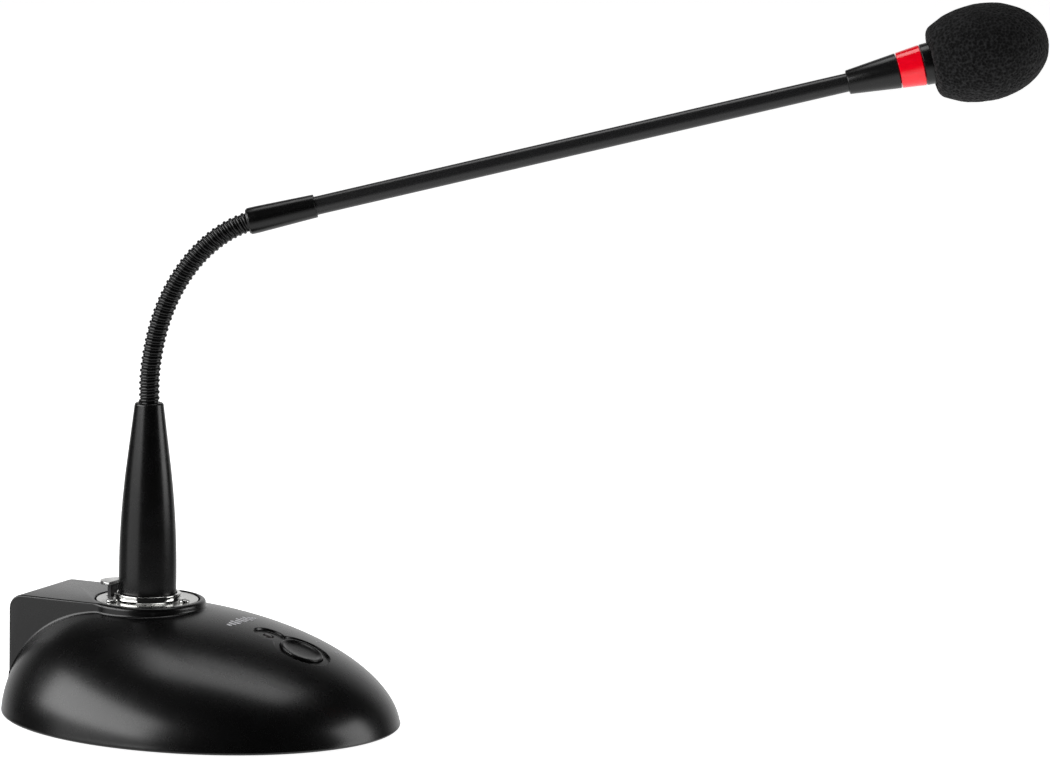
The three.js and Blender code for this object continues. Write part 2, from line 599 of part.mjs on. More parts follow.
// ---------------------------------------------------------------- boom and head

function boomPieces(boom) {
  const slope = Math.tan(NECK_END_SLOPE * DEG);
  const { start, length, radius, endRadius } = FERRULE;
  const bore = TUBE_RADIUS + GAP;
  const end = start + length;
  const ferrule = [[bore, start + bore * slope], [radius - 0.5, start + radius * slope],
    [radius, start + 1.4], [radius, start + 4], [endRadius, end - 0.4], [endRadius - 0.3, end],
    [bore, end], [bore, start + bore * slope]];
  piece(boom, "neck_ferrule", turned(ferrule, 20), SATIN_METAL);
  const tube = ringProfile(TUBE_RADIUS - TUBE_WALL, TUBE_RADIUS, start + 3, HEAD_START + 9);
  piece(boom, "boom_tube", turned(tube, 20), SATIN_METAL);
}

// The outside radius of the head's cone at a place along it.
const headRadius = (place) => HEAD_SMALL_RADIUS + HEAD_SLOPE * place;

function headPieces(boom) {
  const head = new THREE.Group();
  head.position.z = HEAD_START;
  boom.add(head);
  const bore = TUBE_RADIUS + GAP;
  const carrierRadius = 4.1;
  const coneEnd = RING_START - GAP / 2;
  const cone = [[bore, 0], [HEAD_SMALL_RADIUS - 0.2, 0], [HEAD_SMALL_RADIUS, 0.25],
    [headRadius(coneEnd), coneEnd], [carrierRadius + GAP, coneEnd],
    [carrierRadius + GAP, coneEnd - 5], [bore, coneEnd - 7], [bore, 0]];
  piece(head, "head_cone", turned(cone, 24), SATIN_METAL);

  const [ringLow, ringHigh] = [RING_START + GAP / 2, RING_START + RING_LENGTH - GAP / 2];
  const ring = [[carrierRadius + GAP, ringLow], [headRadius(ringLow), ringLow],
    [headRadius(ringHigh), ringHigh], [carrierRadius + GAP, ringHigh], [carrierRadius + GAP, ringLow]];
  piece(head, "light_ring", turned(ring, 24), RED_PLASTIC);
  const carrier = ringProfile(2, carrierRadius, coneEnd - 4.6, RING_START + RING_LENGTH + 3);
  piece(head, "light_carrier", turned(carrier, 20), INSULATOR);

  const collarLow = RING_START + RING_LENGTH + GAP / 2;
  const collar = [[carrierRadius + GAP, collarLow], [headRadius(collarLow), collarLow],
    [CAPSULE_HOUSING_RADIUS, FOAM.start + 0.6], [CAPSULE_HOUSING_RADIUS, NECK_COLLAR_END],
    [5.9, NECK_COLLAR_END], [5.9, collarLow + 4], [carrierRadius + GAP, collarLow + 3.4],
    [carrierRadius + GAP, collarLow]];
  piece(head, "head_collar", turned(collar, 24), SATIN_METAL);

  const grilleLow = NECK_COLLAR_END + GAP;
  const grilleEnd = grilleLow + GRILLE_LENGTH;
  const wall = 0.8;
  const grille = new THREE.Path();
  const dome = 5;
  grille.moveTo(CAPSULE_HOUSING_RADIUS - wall, grilleLow);
  grille.lineTo(CAPSULE_HOUSING_RADIUS, grilleLow);
  grille.lineTo(CAPSULE_HOUSING_RADIUS, grilleEnd - dome);
  grille.absellipse(0, grilleEnd - dome, CAPSULE_HOUSING_RADIUS, dome, 0, Math.PI / 2);
  grille.lineTo(0, grilleEnd - wall);
  grille.absellipse(0, grilleEnd - dome, CAPSULE_HOUSING_RADIUS - wall, dome - wall, Math.PI / 2, 0, true);
  grille.closePath();
  piece(head, "capsule_grille", turned(grille, 20), STEEL);
  const capsuleLow = NECK_COLLAR_END - 3;
  const [capsuleRadius, capsuleHigh] = [4.85, capsuleLow + 7];
  const capsule = [[0, capsuleLow], [capsuleRadius, capsuleLow], [capsuleRadius, capsuleHigh - 0.3],
    [capsuleRadius - 0.4, capsuleHigh], [0, capsuleHigh]];
  piece(head, "mic_capsule", turned(capsule, 20), STEEL);
  const grommet = ringProfile(capsuleRadius + GAP, 5.6, capsuleLow + 0.3, capsuleLow + 5);
  piece(head, "capsule_grommet", turned(grommet, 20), BLACK_RUBBER);
  piece(head, "foam_windscreen", foamSolid(), FOAM_BLACK);
}

// A foam ball with a blunt rear: two elliptical arcs that meet at the belly, and a blind bore.
function foamSolid() {
  const { start, rear, front, belly, radius, bore, depth } = FOAM;
  const lip = 2.5;
  const rearAngle = Math.asin((belly - lip) / rear);
  const foam = new THREE.Path();
  foam.moveTo(bore, start + lip);
  foam.quadraticCurveTo(bore, start, bore + 1.4, start);
  foam.quadraticCurveTo(radius * Math.cos(rearAngle) - 1, start, radius * Math.cos(rearAngle), start + lip);
  foam.absellipse(0, start + belly, radius, rear, -rearAngle, 0);
  foam.absellipse(0, start + belly, radius, front, 0, Math.PI / 2);
  foam.lineTo(0, start + depth);
  foam.lineTo(bore - 1.5, start + depth);
  foam.quadraticCurveTo(bore, start + depth, bore, start + depth - 3);
  foam.closePath();
  return turned(foam, 24);
}

// ---------------------------------------------------------------- assembly

const microphone = new THREE.Group();

piece(microphone, "base_shell", baseShell(), SATIN_PLASTIC);
bottomClosure(microphone);
micSocket(microphone);
releaseTab(microphone);
talkButton(microphone);
cableConnector(microphone);
micUnit(microphone);

const arm = new THREE.Group();
arm.rotation.z = ARM_HEADING * DEG;
microphone.add(arm);
const boom = bendableNeck(arm);
boomPieces(boom);
headPieces(boom);

export default microphone;
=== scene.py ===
"""A desk gooseneck microphone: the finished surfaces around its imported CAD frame.

Shapes are written in millimetres and turned into metres when a mesh is made. Each piece has its own
section below: the base, the socket, the button, the cable connector, the mic unit, the neck, the boom,
the head and its foam, then the materials, the studio and the camera.
"""

import json
import math

import bmesh
import bpy
import numpy as np
from mathutils import Matrix, Vector, noise

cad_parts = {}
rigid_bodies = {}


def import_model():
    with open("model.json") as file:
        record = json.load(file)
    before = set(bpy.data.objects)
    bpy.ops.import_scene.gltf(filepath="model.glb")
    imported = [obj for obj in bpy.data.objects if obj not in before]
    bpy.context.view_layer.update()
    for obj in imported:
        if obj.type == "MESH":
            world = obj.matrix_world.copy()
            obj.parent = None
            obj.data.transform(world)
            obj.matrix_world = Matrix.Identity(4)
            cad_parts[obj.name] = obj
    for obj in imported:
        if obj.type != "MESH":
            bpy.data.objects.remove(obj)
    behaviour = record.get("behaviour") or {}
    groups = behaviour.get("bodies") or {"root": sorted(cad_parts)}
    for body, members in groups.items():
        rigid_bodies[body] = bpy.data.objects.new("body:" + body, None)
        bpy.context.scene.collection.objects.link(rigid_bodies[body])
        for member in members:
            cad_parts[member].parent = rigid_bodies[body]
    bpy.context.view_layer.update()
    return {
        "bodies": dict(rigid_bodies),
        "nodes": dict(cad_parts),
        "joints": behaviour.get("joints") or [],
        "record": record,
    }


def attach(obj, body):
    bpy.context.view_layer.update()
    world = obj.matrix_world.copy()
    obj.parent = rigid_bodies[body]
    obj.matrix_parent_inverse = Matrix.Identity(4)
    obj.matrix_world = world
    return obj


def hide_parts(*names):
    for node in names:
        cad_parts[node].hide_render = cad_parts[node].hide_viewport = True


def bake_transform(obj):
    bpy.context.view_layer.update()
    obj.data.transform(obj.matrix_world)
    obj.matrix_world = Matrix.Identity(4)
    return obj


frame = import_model()
JOINTS = {joint["name"]: joint for joint in frame["joints"]}

MM = 0.001
SMOOTH_UP_TO = math.radians(38)

# ---------------- driving dimensions, in millimetres

BASE_HALF_WIDTH = 57.0
BASE_HALF_LENGTH = 69.2
BASE_CENTRE_Y = -20.5
DOME_APEX_Y = 8.4
DOME_TOP = 38.4
DOME_RIM_POWER = 2.05
DOME_RISE_POWER = 1.87
SHELL_BOTTOM = 0.8
WALL = 3.0
REAR_Y = 43.4
DECK_TOP = 39.3
BLOCK_HALF_WIDTH = 17.3
BLOCK_CORNER = 5.0
BLOCK_EDGE = 0.6
BOSS_RADIUS = 19.6
BOSS_EDGE = 1.3
WEB_RADIUS = 8.0

FLANGE_RADIUS = 17.1
FLANGE_TOP = 39.1
FLANGE_BOTTOM = 38.3
COLLAR_RADIUS = 11.1
COLLAR_TOP = 41.4
SOCKET_BORE = 9.95
SOCKET_BODY_RADIUS = 11.6
SOCKET_BOTTOM = 19.0
TAB_UNDERSIDE = 43.2
THIRDS = [30, 150, 270]
CONTACT_CIRCLE = 4.0
PIN_RADIUS = 1.1
PIN_HOLE = 1.4
TUBE_HOLE = 2.3
FLANGE_SCREW_CIRCLE = 13.9
POSTS = [(-36, -44), (36, -44), (-31, 17), (31, 17)]

BUTTON_CENTRE = (0, -58.5, 27.3)
BUTTON_TILT = 22
BUTTON_RADIUS = 7.4
RECESS_RADIUS = 9.9
LOBE_RADIUS = 5.3
LOBE_OFFSET = 13.0
RECESS_DEPTH = 0.8
RECESS_LIP = 0.6
LENS_RADIUS = 1.55

OUTPUT_Z = 18.7
OUTPUT_FACE = 45.5
OUTPUT_CAVITY = 9.6
OUTPUT_SINK = 0.85
OUTPUT_SCREWS = [(-9.6, -12), (9.6, 12)]

SLEEVE_BOTTOM = 41.0
SLEEVE_TOP = 105.5
SLEEVE_RADIUS = 9.65
SLEEVE_TOP_RADIUS = 4.88
SLEEVE_TAPER = 0.12

NECK_JOINTS = 7
NECK_CREST = 3.5
NECK_PITCH = 2.0
NECK_FOOT = 98.5

TUBE_RADIUS = 3.1
FERRULE_RADIUS = 4.45
FERRULE_END_RADIUS = 3.9
FERRULE_START = 0.2
FERRULE_END = 23.5
HEAD_START = 204.0
HEAD_SMALL_RADIUS = 4.0
HEAD_SLOPE = 0.111
RING_START = 17.2
RING_END = 25.4
HOUSING_RADIUS = 7.0
HOUSING_END = 34.0
HEAD_BORE = 4.4
PART_GAP = 0.12
FOAM_START = 28.4
FOAM_RADIUS = 16.2
FOAM_BELLY = 17.5
FOAM_REAR = 23.3
FOAM_FRONT = 21.7

# ---------------- mesh helpers

UPRIGHT = Matrix.Identity(4)


def place_at(origin, z_axis, y_axis):
    """A frame with its Z and Y along the given directions, for pieces drawn about their own axis."""
    z = Vector(z_axis).normalized()
    y = Vector(y_axis).normalized()
    x = y.cross(z)
    turn = Matrix((x, y, z)).transposed().to_4x4()
    return Matrix.Translation(Vector(origin)) @ turn


def mesh_from(name, points, faces, place=UPRIGHT):
    mesh = bpy.data.meshes.new(name)
    mesh.from_pydata([place @ Vector(p) for p in points], [], faces)
    made = bmesh.new()
    made.from_mesh(mesh)
    bmesh.ops.remove_doubles(made, verts=made.verts, dist=1e-4)
    bmesh.ops.recalc_face_normals(made, faces=made.faces)
    made.to_mesh(mesh)
    made.free()
    piece = bpy.data.objects.new(name, mesh)
    bpy.context.scene.collection.objects.link(piece)
    return piece


def finish_piece(piece, body, finish, *nodes):
    """Scales the piece to metres, shades it, and ties it to its finish, body and CAD nodes."""
    piece.data.transform(Matrix.Scale(MM, 4))
    piece.data.shade_smooth()
    piece.data.set_sharp_from_angle(angle=SMOOTH_UP_TO)
    piece.data.materials.clear()
    piece.data.materials.append(LOOKS[finish])
    if body:
        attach(piece, body)
    if nodes:
        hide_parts(*nodes)
    return piece


def arc(centre_r, centre_z, radius, start, end, steps=6):
    """Outline points along a circular arc, in degrees from the outline's radius direction."""
    angles = np.radians(np.linspace(start, end, steps + 1))
    return [(centre_r + radius * math.cos(a), centre_z + radius * math.sin(a)) for a in angles]


def quarter_turn(steps):
    return np.radians(np.linspace(0, 90, steps + 1))


def turned(name, outline, place=UPRIGHT, sides=96, closed=False):
    """A solid turned about Z from (radius, z) points; a closed outline makes a ring."""
    points = []
    rows = []
    for radius, z in outline:
        if radius < 1e-6:
            rows.append([len(points)] * sides)
            points.append((0, 0, z))
            continue
        rows.append(list(range(len(points), len(points) + sides)))
        for i in range(sides):
            angle = 2 * math.pi * i / sides
            points.append((radius * math.cos(angle), radius * math.sin(angle), z))
    if closed:
        rows.append(rows[0])
    faces = []
    for low, high in zip(rows, rows[1:]):
        for i in range(sides):
            j = (i + 1) % sides
            corners = [low[i], low[j], high[j], high[i]]
            face = [c for n, c in enumerate(corners) if c not in corners[:n]]
            if len(face) > 2:
                faces.append(face)
    return mesh_from(name, points, faces, place)


def disc(name, radius, bottom, top, place=UPRIGHT, sides=64):
    return turned(name, [(0, bottom), (radius, bottom), (radius, top), (0, top)], place, sides)


def prism(name, outlines, place=UPRIGHT):
    """A solid lofted through rings of points that all have the same count, capped at both ends."""
    count = len(outlines[0])
    points = [p for ring in outlines for p in ring]
    faces = [list(range(count))[::-1]]
    for level in range(len(outlines) - 1):
        for i in range(count):
            j = (i + 1) % count
            low, high = level * count, (level + 1) * count
            faces.append([low + i, low + j, high + j, high + i])
    last = (len(outlines) - 1) * count
    faces.append([last + i for i in range(count)])
    return mesh_from(name, points, faces, place)


def box(name, low, high, place=UPRIGHT):
    (x0, y0, z0), (x1, y1, z1) = low, high
    ring = [(x0, y0), (x1, y0), (x1, y1), (x0, y1)]
    return prism(name, [[(x, y, z) for x, y in ring] for z in (z0, z1)], place)


def combine(piece, tool, operation):
    """Joins or cuts the piece with the tool, then removes the tool."""
    step = piece.modifiers.new("step", "BOOLEAN")
    step.operation = operation
    step.solver = "MANIFOLD"
    step.object = tool
    depsgraph = bpy.context.evaluated_depsgraph_get()
    result = bpy.data.meshes.new_from_object(piece.evaluated_get(depsgraph))
    piece.modifiers.clear()
    old = piece.data
    piece.data = result
    bpy.data.meshes.remove(old)
    bpy.data.objects.remove(tool)
    return piece


def join(piece, tool):
    return combine(piece, tool, "UNION")


def cut(piece, tool):
    return combine(piece, tool, "DIFFERENCE")


def drill(piece, places, radius, low, high, sides=32, frame=UPRIGHT):
    """Cuts the same round hole at each (x, y) of the frame, from low to high along its Z."""
    for x, y in places:
        cut(piece, disc("hole", radius, low, high, frame @ Matrix.Translation((x, y, 0)), sides))


def on_circle(radius, degrees):
    return radius * math.cos(math.radians(degrees)), radius * math.sin(math.radians(degrees))


def in_thirds(radius):
    return [on_circle(radius, degrees) for degrees in THIRDS]


def lengths_along(places):
    """How far along the line of points each point lies."""
    return np.concatenate([[0], np.cumsum(np.linalg.norm(np.diff(places, axis=0), axis=1))])


# ---------------- base shell


def dome_share(x, y):
    """How far out a plan point lies on the dome: 0 at the apex, 1 at the rim."""
    shift = DOME_APEX_Y - BASE_CENTRE_Y
    along = y - DOME_APEX_Y
    square = shift**2 / BASE_HALF_LENGTH**2 - 1
    linear = 2 * shift * along / BASE_HALF_LENGTH**2
    fixed = x**2 / BASE_HALF_WIDTH**2 + along**2 / BASE_HALF_LENGTH**2
    return (-linear - np.sqrt(linear**2 - 4 * square * fixed)) / (2 * square)


def dome_height(x, y):
    share = np.clip(dome_share(np.asarray(x, float), np.asarray(y, float)), 0, 1)
    return DOME_TOP * (1 - share**DOME_RIM_POWER) ** (1 / DOME_RISE_POWER)


def dome_normal(x, y):
    step = 0.1
    slope_x = (dome_height(x + step, y) - dome_height(x - step, y)) / (2 * step)
    slope_y = (dome_height(x, y + step) - dome_height(x, y - step)) / (2 * step)
    return Vector((-slope_x, -slope_y, 1)).normalized()


def dome_rings(inset, bottom, rows, sides):
    """Level rings of the dome from the rim to just under the apex."""
    rim_round = 0.9
    levels = []
    if inset == 0:
        for angle in np.radians(np.linspace(-90, 0, 5)):
            height = bottom + rim_round * (1 + math.sin(angle))
            levels.append((1 - rim_round * (1 - math.cos(angle)) / BASE_HALF_WIDTH, height))
    else:
        levels.append((1, bottom))
    first = levels[-1][1]
    for i in range(rows):
        share = math.cos(i / rows * math.pi / 2)
        height = (DOME_TOP - inset) * (1 - share**DOME_RIM_POWER) ** (1 / DOME_RISE_POWER)
        if height > first:
            levels.append((share, height))
    levels.append((0.008, DOME_TOP - inset - 0.0005))
    rings = []
    for share, height in levels:
        centre = DOME_APEX_Y + share * (BASE_CENTRE_Y - DOME_APEX_Y)
        ring = []
        for i in range(sides):
            angle = 2 * math.pi * i / sides
            x = (BASE_HALF_WIDTH - inset) * share * math.cos(angle)
            y = centre + (BASE_HALF_LENGTH - inset) * share * math.sin(angle)
            ring.append((x, y, height))
        rings.append(ring)
    return rings


def keyhole_distance(u, v):
    """Distance from the rounded keyhole outline of the recess, negative inside."""
    round_part = math.hypot(u, v) - RECESS_RADIUS
    lobe = math.hypot(u, v - LOBE_OFFSET) - LOBE_RADIUS
    blend = 1.2
    share = min(max(0.5 + 0.5 * (lobe - round_part) / blend, 0), 1)
    return lobe * (1 - share) + round_part * share - blend * share * (1 - share)


def button_place():
    return Matrix.Translation(BUTTON_CENTRE) @ Matrix.Rotation(math.radians(BUTTON_TILT), 4, "X")


def sink_recess(shell):
    """Refines the dome round the button and sinks the keyhole recess into it, with rounded lips."""
    to_button = button_place().inverted()
    below = -6
    made = bmesh.new()
    made.from_mesh(shell.data)

    def between(face, inner, outer):
        local = to_button @ face.calc_center_median()
        return local.z > below and inner <= keyhole_distance(local.x, local.y) < outer

    for inner, outer, cuts in ((-math.inf, 3.5, 2), (-math.inf, 1.4, 2), (-1.8, 0.6, 1)):
        chosen = [f for f in made.faces if between(f, inner, outer)]
        edges = list({e for f in chosen for e in f.edges})
        bmesh.ops.subdivide_edges(made, edges=edges, cuts=cuts, use_grid_fill=True)
    for vertex in made.verts:
        local = to_button @ vertex.co
        if local.z < below or keyhole_distance(local.x, local.y) > 6:
            continue
        x, y = vertex.co.x, vertex.co.y
        vertex.co.z = float(dome_height(x, y))
        local = to_button @ vertex.co
        share = -(keyhole_distance(local.x, local.y) - 0.2) / RECESS_LIP
        share = min(max(share, 0), 1)
        share = share * share * (3 - 2 * share)
        vertex.co -= dome_normal(x, y) * RECESS_DEPTH * share
    bmesh.ops.triangulate(made, faces=[f for f in made.faces if 4 < len(f.verts) < 40])
    made.to_mesh(shell.data)
    made.free()


def rounded_block():
    """The rear block, lofted across its width so that all its side edges are rounded alike."""

    def outline(inset):
        back, top = REAR_Y - inset, DECK_TOP - inset
        radius = BLOCK_CORNER - inset
        corner = arc(back - radius, top - radius, radius, 0, 90, 12)
        return [(0, SHELL_BOTTOM + inset), (back, SHELL_BOTTOM + inset), *corner, (0, top)]

    half = []
    for angle in quarter_turn(5):
        x = BLOCK_HALF_WIDTH - BLOCK_EDGE * (1 - math.cos(angle))
        half.append((x, BLOCK_EDGE * (1 - math.sin(angle))))
    rings = [[(-x, y, z) for y, z in outline(inset)] for x, inset in half]
    rings += [[(x, y, z) for y, z in outline(inset)] for x, inset in half[::-1]]
    return prism("rear_block", rings)


def web_arc():
    """Plan points and outward directions of the concave corner between the block's side and the boss."""
    centre_x = BLOCK_HALF_WIDTH + WEB_RADIUS
    centre_y = math.sqrt((BOSS_RADIUS + WEB_RADIUS) ** 2 - centre_x**2)
    end = 180 + math.degrees(math.atan2(centre_y, centre_x))
    found = []
    for angle in np.radians(np.linspace(180, end, 9)):
        out = (-math.cos(angle), -math.sin(angle))
        found.append((centre_x - WEB_RADIUS * out[0], centre_y - WEB_RADIUS * out[1], *out))
    return found


def web(side):
    """Fills the corner between block and boss, its top edge rounded like theirs."""
    foot, buried = 15.0, [(10, 2), (10, 14)]
    corner = web_arc()
    rings = [[(x, y, foot) for x, y, _, _ in corner] + [(x, y, foot) for x, y in buried]]
    for angle in quarter_turn(6):
        ring = []
        for i, (x, y, out_x, out_y) in enumerate(corner):
            edge = BLOCK_EDGE + (BOSS_EDGE - BLOCK_EDGE) * i / (len(corner) - 1)
            inset = edge * (1 - math.cos(angle))
            ring.append((x - out_x * inset, y - out_y * inset, DECK_TOP - edge * (1 - math.sin(angle))))
        level = DECK_TOP - BLOCK_EDGE * (1 - math.sin(angle))
        rings.append(ring + [(x, y, level) for x, y in buried])
    return prism("web", [[(x * side, y, z) for x, y, z in ring] for ring in rings])


def deck_seam():
    """Plan path, outward direction and size of the small fillet where block and boss meet the dome."""
    rear, front = 1.8, 0.9
    corner = web_arc()
    start_y, end_y = corner[0][1], REAR_Y + 0.8
    side = []
    for y in np.linspace(end_y, start_y, 40)[:-1]:
        share = (y - start_y) / (end_y - start_y)
        side.append((BLOCK_HALF_WIDTH, y, 1, 0, front + (rear - front) * share))
    side += [(*point, front) for point in corner]
    start = math.degrees(math.atan2(corner[-1][1], corner[-1][0]))
    ring = []
    for angle in np.linspace(start, -180 - start, 110)[1:-1]:
        out = on_circle(1, angle)
        ring.append((out[0] * BOSS_RADIUS, out[1] * BOSS_RADIUS, *out, front))
    mirrored = [(-x, y, -out_x, out_y, size) for x, y, out_x, out_y, size in side]
    return side + ring + mirrored[::-1]


def seam_fillet():
    """A concave strip along the seam, tangent to the upright wall and to the dome."""
    hide, buried = 0.03, 1.2
    rings = []
    for x, y, out_x, out_y, size in deck_seam():
        height = float(dome_height(x, y))
        far = float(dome_height(x + out_x * size, y + out_y * size))
        wall = (-hide, height + size)
        floor = (size, far - hide)
        ring = [(-0.6, height - buried), wall]
        for t in (0.2, 0.4, 0.6, 0.8):
            out = (1 - t) ** 2 * wall[0] + t**2 * floor[0]
            up = 2 * t * (1 - t) * height + (1 - t) ** 2 * wall[1] + t**2 * floor[1]
            ring.append((out, up))
        ring += [floor, (size * 0.5, min(height, far) - buried)]
        rings.append([(x + out_x * out, y + out_y * out, z) for out, z in ring])
    return prism("seam_fillet", rings)


def rear_place():
    """The connector's frame: Z points out of the rear panel."""
    return Matrix.Translation((0, 0, OUTPUT_Z)) @ Matrix.Rotation(math.radians(-90), 4, "X")


def make_base_shell():
    shell = prism("base_housing", dome_rings(0, SHELL_BOTTOM, 48, 184))
    sink_recess(shell)
    join(shell, seam_fillet())
    join(shell, rounded_block())
    boss_top = arc(BOSS_RADIUS - BOSS_EDGE, DECK_TOP - BOSS_EDGE, BOSS_EDGE, 0, 90, 8)
    join(shell, turned("boss", [(0, 20), (BOSS_RADIUS, 20), *boss_top, (0, DECK_TOP)], sides=176))
    for side in (-1, 1):
        join(shell, web(side))
    cut(shell, box("behind", (-90, REAR_Y, -10), (90, 90, 60)))

    hollow = prism("hollow", dome_rings(WALL, -5, 20, 96))
    cut(hollow, box("behind", (-90, REAR_Y - WALL, -20), (90, 90, 60)))
    inner = BLOCK_HALF_WIDTH - WALL
    join(hollow, box("inner_block", (-inner, -5, -20), (inner, REAR_Y - WALL, DECK_TOP - WALL)))
    cut(hollow, disc("boss_core", BOSS_RADIUS - 1, 27, 60))
    cut(shell, hollow)

    lip, seat_floor, above = 0.3, FLANGE_BOTTOM - 1, 50
    recess = FLANGE_RADIUS + 0.55
    seat = [(0, seat_floor), (recess, seat_floor), (recess, DECK_TOP - lip), (recess + lip, DECK_TOP + 0.02),
            (recess + lip, above), (0, above)]
    cut(shell, turned("flange_seat", seat, sides=144))
    cut(shell, disc("socket_hole", SOCKET_BODY_RADIUS + 0.3, 5, 50))
    cut(shell, box("stem_slot", (-3.5, 11.7, 20), (3.5, 14.3, 50)))
    tilted = button_place()
    cut(shell, disc("button_hole", BUTTON_RADIUS + 0.3, -12, 3, tilted, 96))
    drill(shell, [(0, LOBE_OFFSET)], LENS_RADIUS + 0.3, -9, 2, frame=tilted)
    cut(shell, disc("output_hole", 11.9, REAR_Y - 8, 60, rear_place(), 64))
    drill(shell, OUTPUT_SCREWS, 1.5, REAR_Y - 8, 60, 24, rear_place())
    return shell


# ---------------- screws, pins and inserts


def screw(name, place, head=(1.9, 0.75), shank=(0.85, 7.0)):
    """A low pan-head screw with a cross recess; Z points out of the head and 0 is under it."""
    radius, height = head
    thin, length = shank
    dome = [(radius, height * 0.35), (radius * 0.96, height * 0.62), (radius * 0.8, height * 0.88),
            (radius * 0.5, height * 0.98), (0, height)]
    outline = [(0, -length), (thin * 0.6, -length), (thin, -length + 0.6), (thin, 0), (radius, 0), *dome]
    piece = turned(name, outline, sides=40)
    arm, half, depth = radius * 0.6, radius * 0.13, height * 0.6
    for reach_x, reach_y in ((arm, half), (half, arm)):
        cut(piece, box("cross", (-reach_x, -reach_y, height - depth), (reach_x, reach_y, height + 1)))
    piece.data.transform(place)
    return piece


def pin(name, radius, low, high, place):
    """A contact pin with a rounded tip at its high end."""
    outline = [(0, low), (radius, low), (radius, high - radius), *arc(0, high - radius, radius, 0, 90, 6)]
    return turned(name, outline, place, 32)


def pierced_insert(name, outline, hole, place):
    """An insulating insert with a hole for each contact."""
    piece = turned(name, outline, sides=96)
    drill(piece, in_thirds(CONTACT_CIRCLE), hole, -80, 80)
    piece.data.transform(place)
    return piece


def round_edged(name, ring, bottom, top, edge):
    """A plate from ring(inset, z), its top and bottom edges rounded."""
    angles = quarter_turn(4)
    lower = [ring(edge * (1 - math.sin(a)), bottom + edge * (1 - math.cos(a))) for a in angles]
    upper = [ring(edge * (1 - math.sin(a)), top - edge * (1 - math.cos(a))) for a in angles]
    return prism(name, lower + upper[::-1])


def rounded_plate(name, width, length, corner, bottom, top, edge):
    """A flat plate with round corners and rounded top and bottom edges."""

    def ring(inset, z):
        w, l, r = width / 2 - inset, length / 2 - inset, corner - inset
        quarters = [(w - r, l - r, 0), (-w + r, l - r, 90), (-w + r, -l + r, 180), (w - r, -l + r, 270)]
        found = []
        for centre_x, centre_y, start in quarters:
            found += arc(centre_x, centre_y, r, start, start + 90, 8)
        return [(x, y, z) for x, y in found]

    return round_edged(name, ring, bottom, top, edge)


# ---------------- base parts


def footprint(inset, rear_inset, bottom, top, edge):
    """The base's plan outline as a plate, drawn in by inset, straight at the rear, its edges rounded."""

    def ring(extra, z):
        a, b = BASE_HALF_WIDTH - inset - extra, BASE_HALF_LENGTH - inset - extra
        rear = REAR_Y - rear_inset - extra - BASE_CENTRE_Y
        start = math.asin(rear / b)
        angles = np.linspace(math.pi - start, 2 * math.pi + start, 140)
        return [(a * math.cos(t), BASE_CENTRE_Y + b * math.sin(t), z) for t in angles]

    return prism("plate", [ring(edge, bottom), ring(0, bottom + edge), ring(0, top - edge), ring(edge, top)])


def make_rest_pad():
    pad = footprint(5.5, 4.5, 0, 1, 0.25)
    pad.name = "rest_pad_soft"
    drill(pad, POSTS, 4.2, -3, 4, 48)
    return pad


def make_flange():
    """The socket's body, flange and collar, turned in one, with screw holes and the tab's notch."""
    low = FLANGE_TOP
    outline = [
        (SOCKET_BORE, SOCKET_BOTTOM), (SOCKET_BODY_RADIUS, SOCKET_BOTTOM),
        (SOCKET_BODY_RADIUS, FLANGE_BOTTOM), (FLANGE_RADIUS, FLANGE_BOTTOM),
        *arc(FLANGE_RADIUS - 0.3, low - 0.3, 0.3, 0, 90, 4), (14.5, low),
        *arc(COLLAR_RADIUS + 1.2, low + 1.2, 1.2, 270, 180, 8),
        *arc(COLLAR_RADIUS - 0.35, COLLAR_TOP - 0.35, 0.35, 0, 90, 5),
        *arc(SOCKET_BORE + 0.3, COLLAR_TOP - 0.3, 0.3, 90, 180, 4),
    ]
    piece = turned("socket_flange", outline, sides=160, closed=True)
    drill(piece, in_thirds(FLANGE_SCREW_CIRCLE), 1.45, 30, 45)
    cut(piece, box("stem_notch", (-3.4, 12.2, 30), (3.4, 14.2, 50)))
    return piece


def make_release_tab():
    """A half-moon thumb plate with rounded edges on a flat stem."""
    radius, middle, top = 5.7, 11.6, 44.2

    def ring(inset, z):
        return [(x, y, z) for x, y in arc(0, middle + inset, radius - inset, 0, 180, 32)]

    plate = round_edged("release_thumb_tab", ring, TAB_UNDERSIDE, top, 0.3)
    return join(plate, box("stem", (-3, 12.4, 29), (3, 13.6, top - 0.3)))


def make_talk_button():
    r = BUTTON_RADIUS
    dish = [(r - 0.9, 0.26), (r - 1.3, 0.1), (r - 1.8, -0.12), (r - 2.6, -0.3), (r - 4.2, -0.42), (0, -0.5)]
    outline = [(0, -5), (r - 1.2, -5), (r, -4.4), *arc(r - 0.5, -0.2, 0.5, 0, 90, 6), *dish]
    return turned("talk_button_cap", outline, button_place(), 128)


def make_output_shell():
    """The cable connector's plate and barrel, with a keyway and two screw holes."""
    plate = rounded_plate("cable_connector", 26, 31, 2, 43.7, OUTPUT_FACE, 0.3)
    join(plate, disc("barrel", 11.6, 19.4, 44.2, sides=96))
    lip = 0.35
    bore = [(0, 10), (OUTPUT_CAVITY, 10), (OUTPUT_CAVITY, OUTPUT_FACE - lip),
            (OUTPUT_CAVITY + lip, OUTPUT_FACE + 0.02), (OUTPUT_CAVITY + lip, 60), (0, 60)]
    cut(plate, turned("bore", bore, sides=96))
    cut(plate, box("keyway", (-1.1, -10.6, 30), (1.1, -9, 60)))
    drill(plate, OUTPUT_SCREWS, 1.75, 30, 60)
    plate.data.transform(rear_place())
    return plate


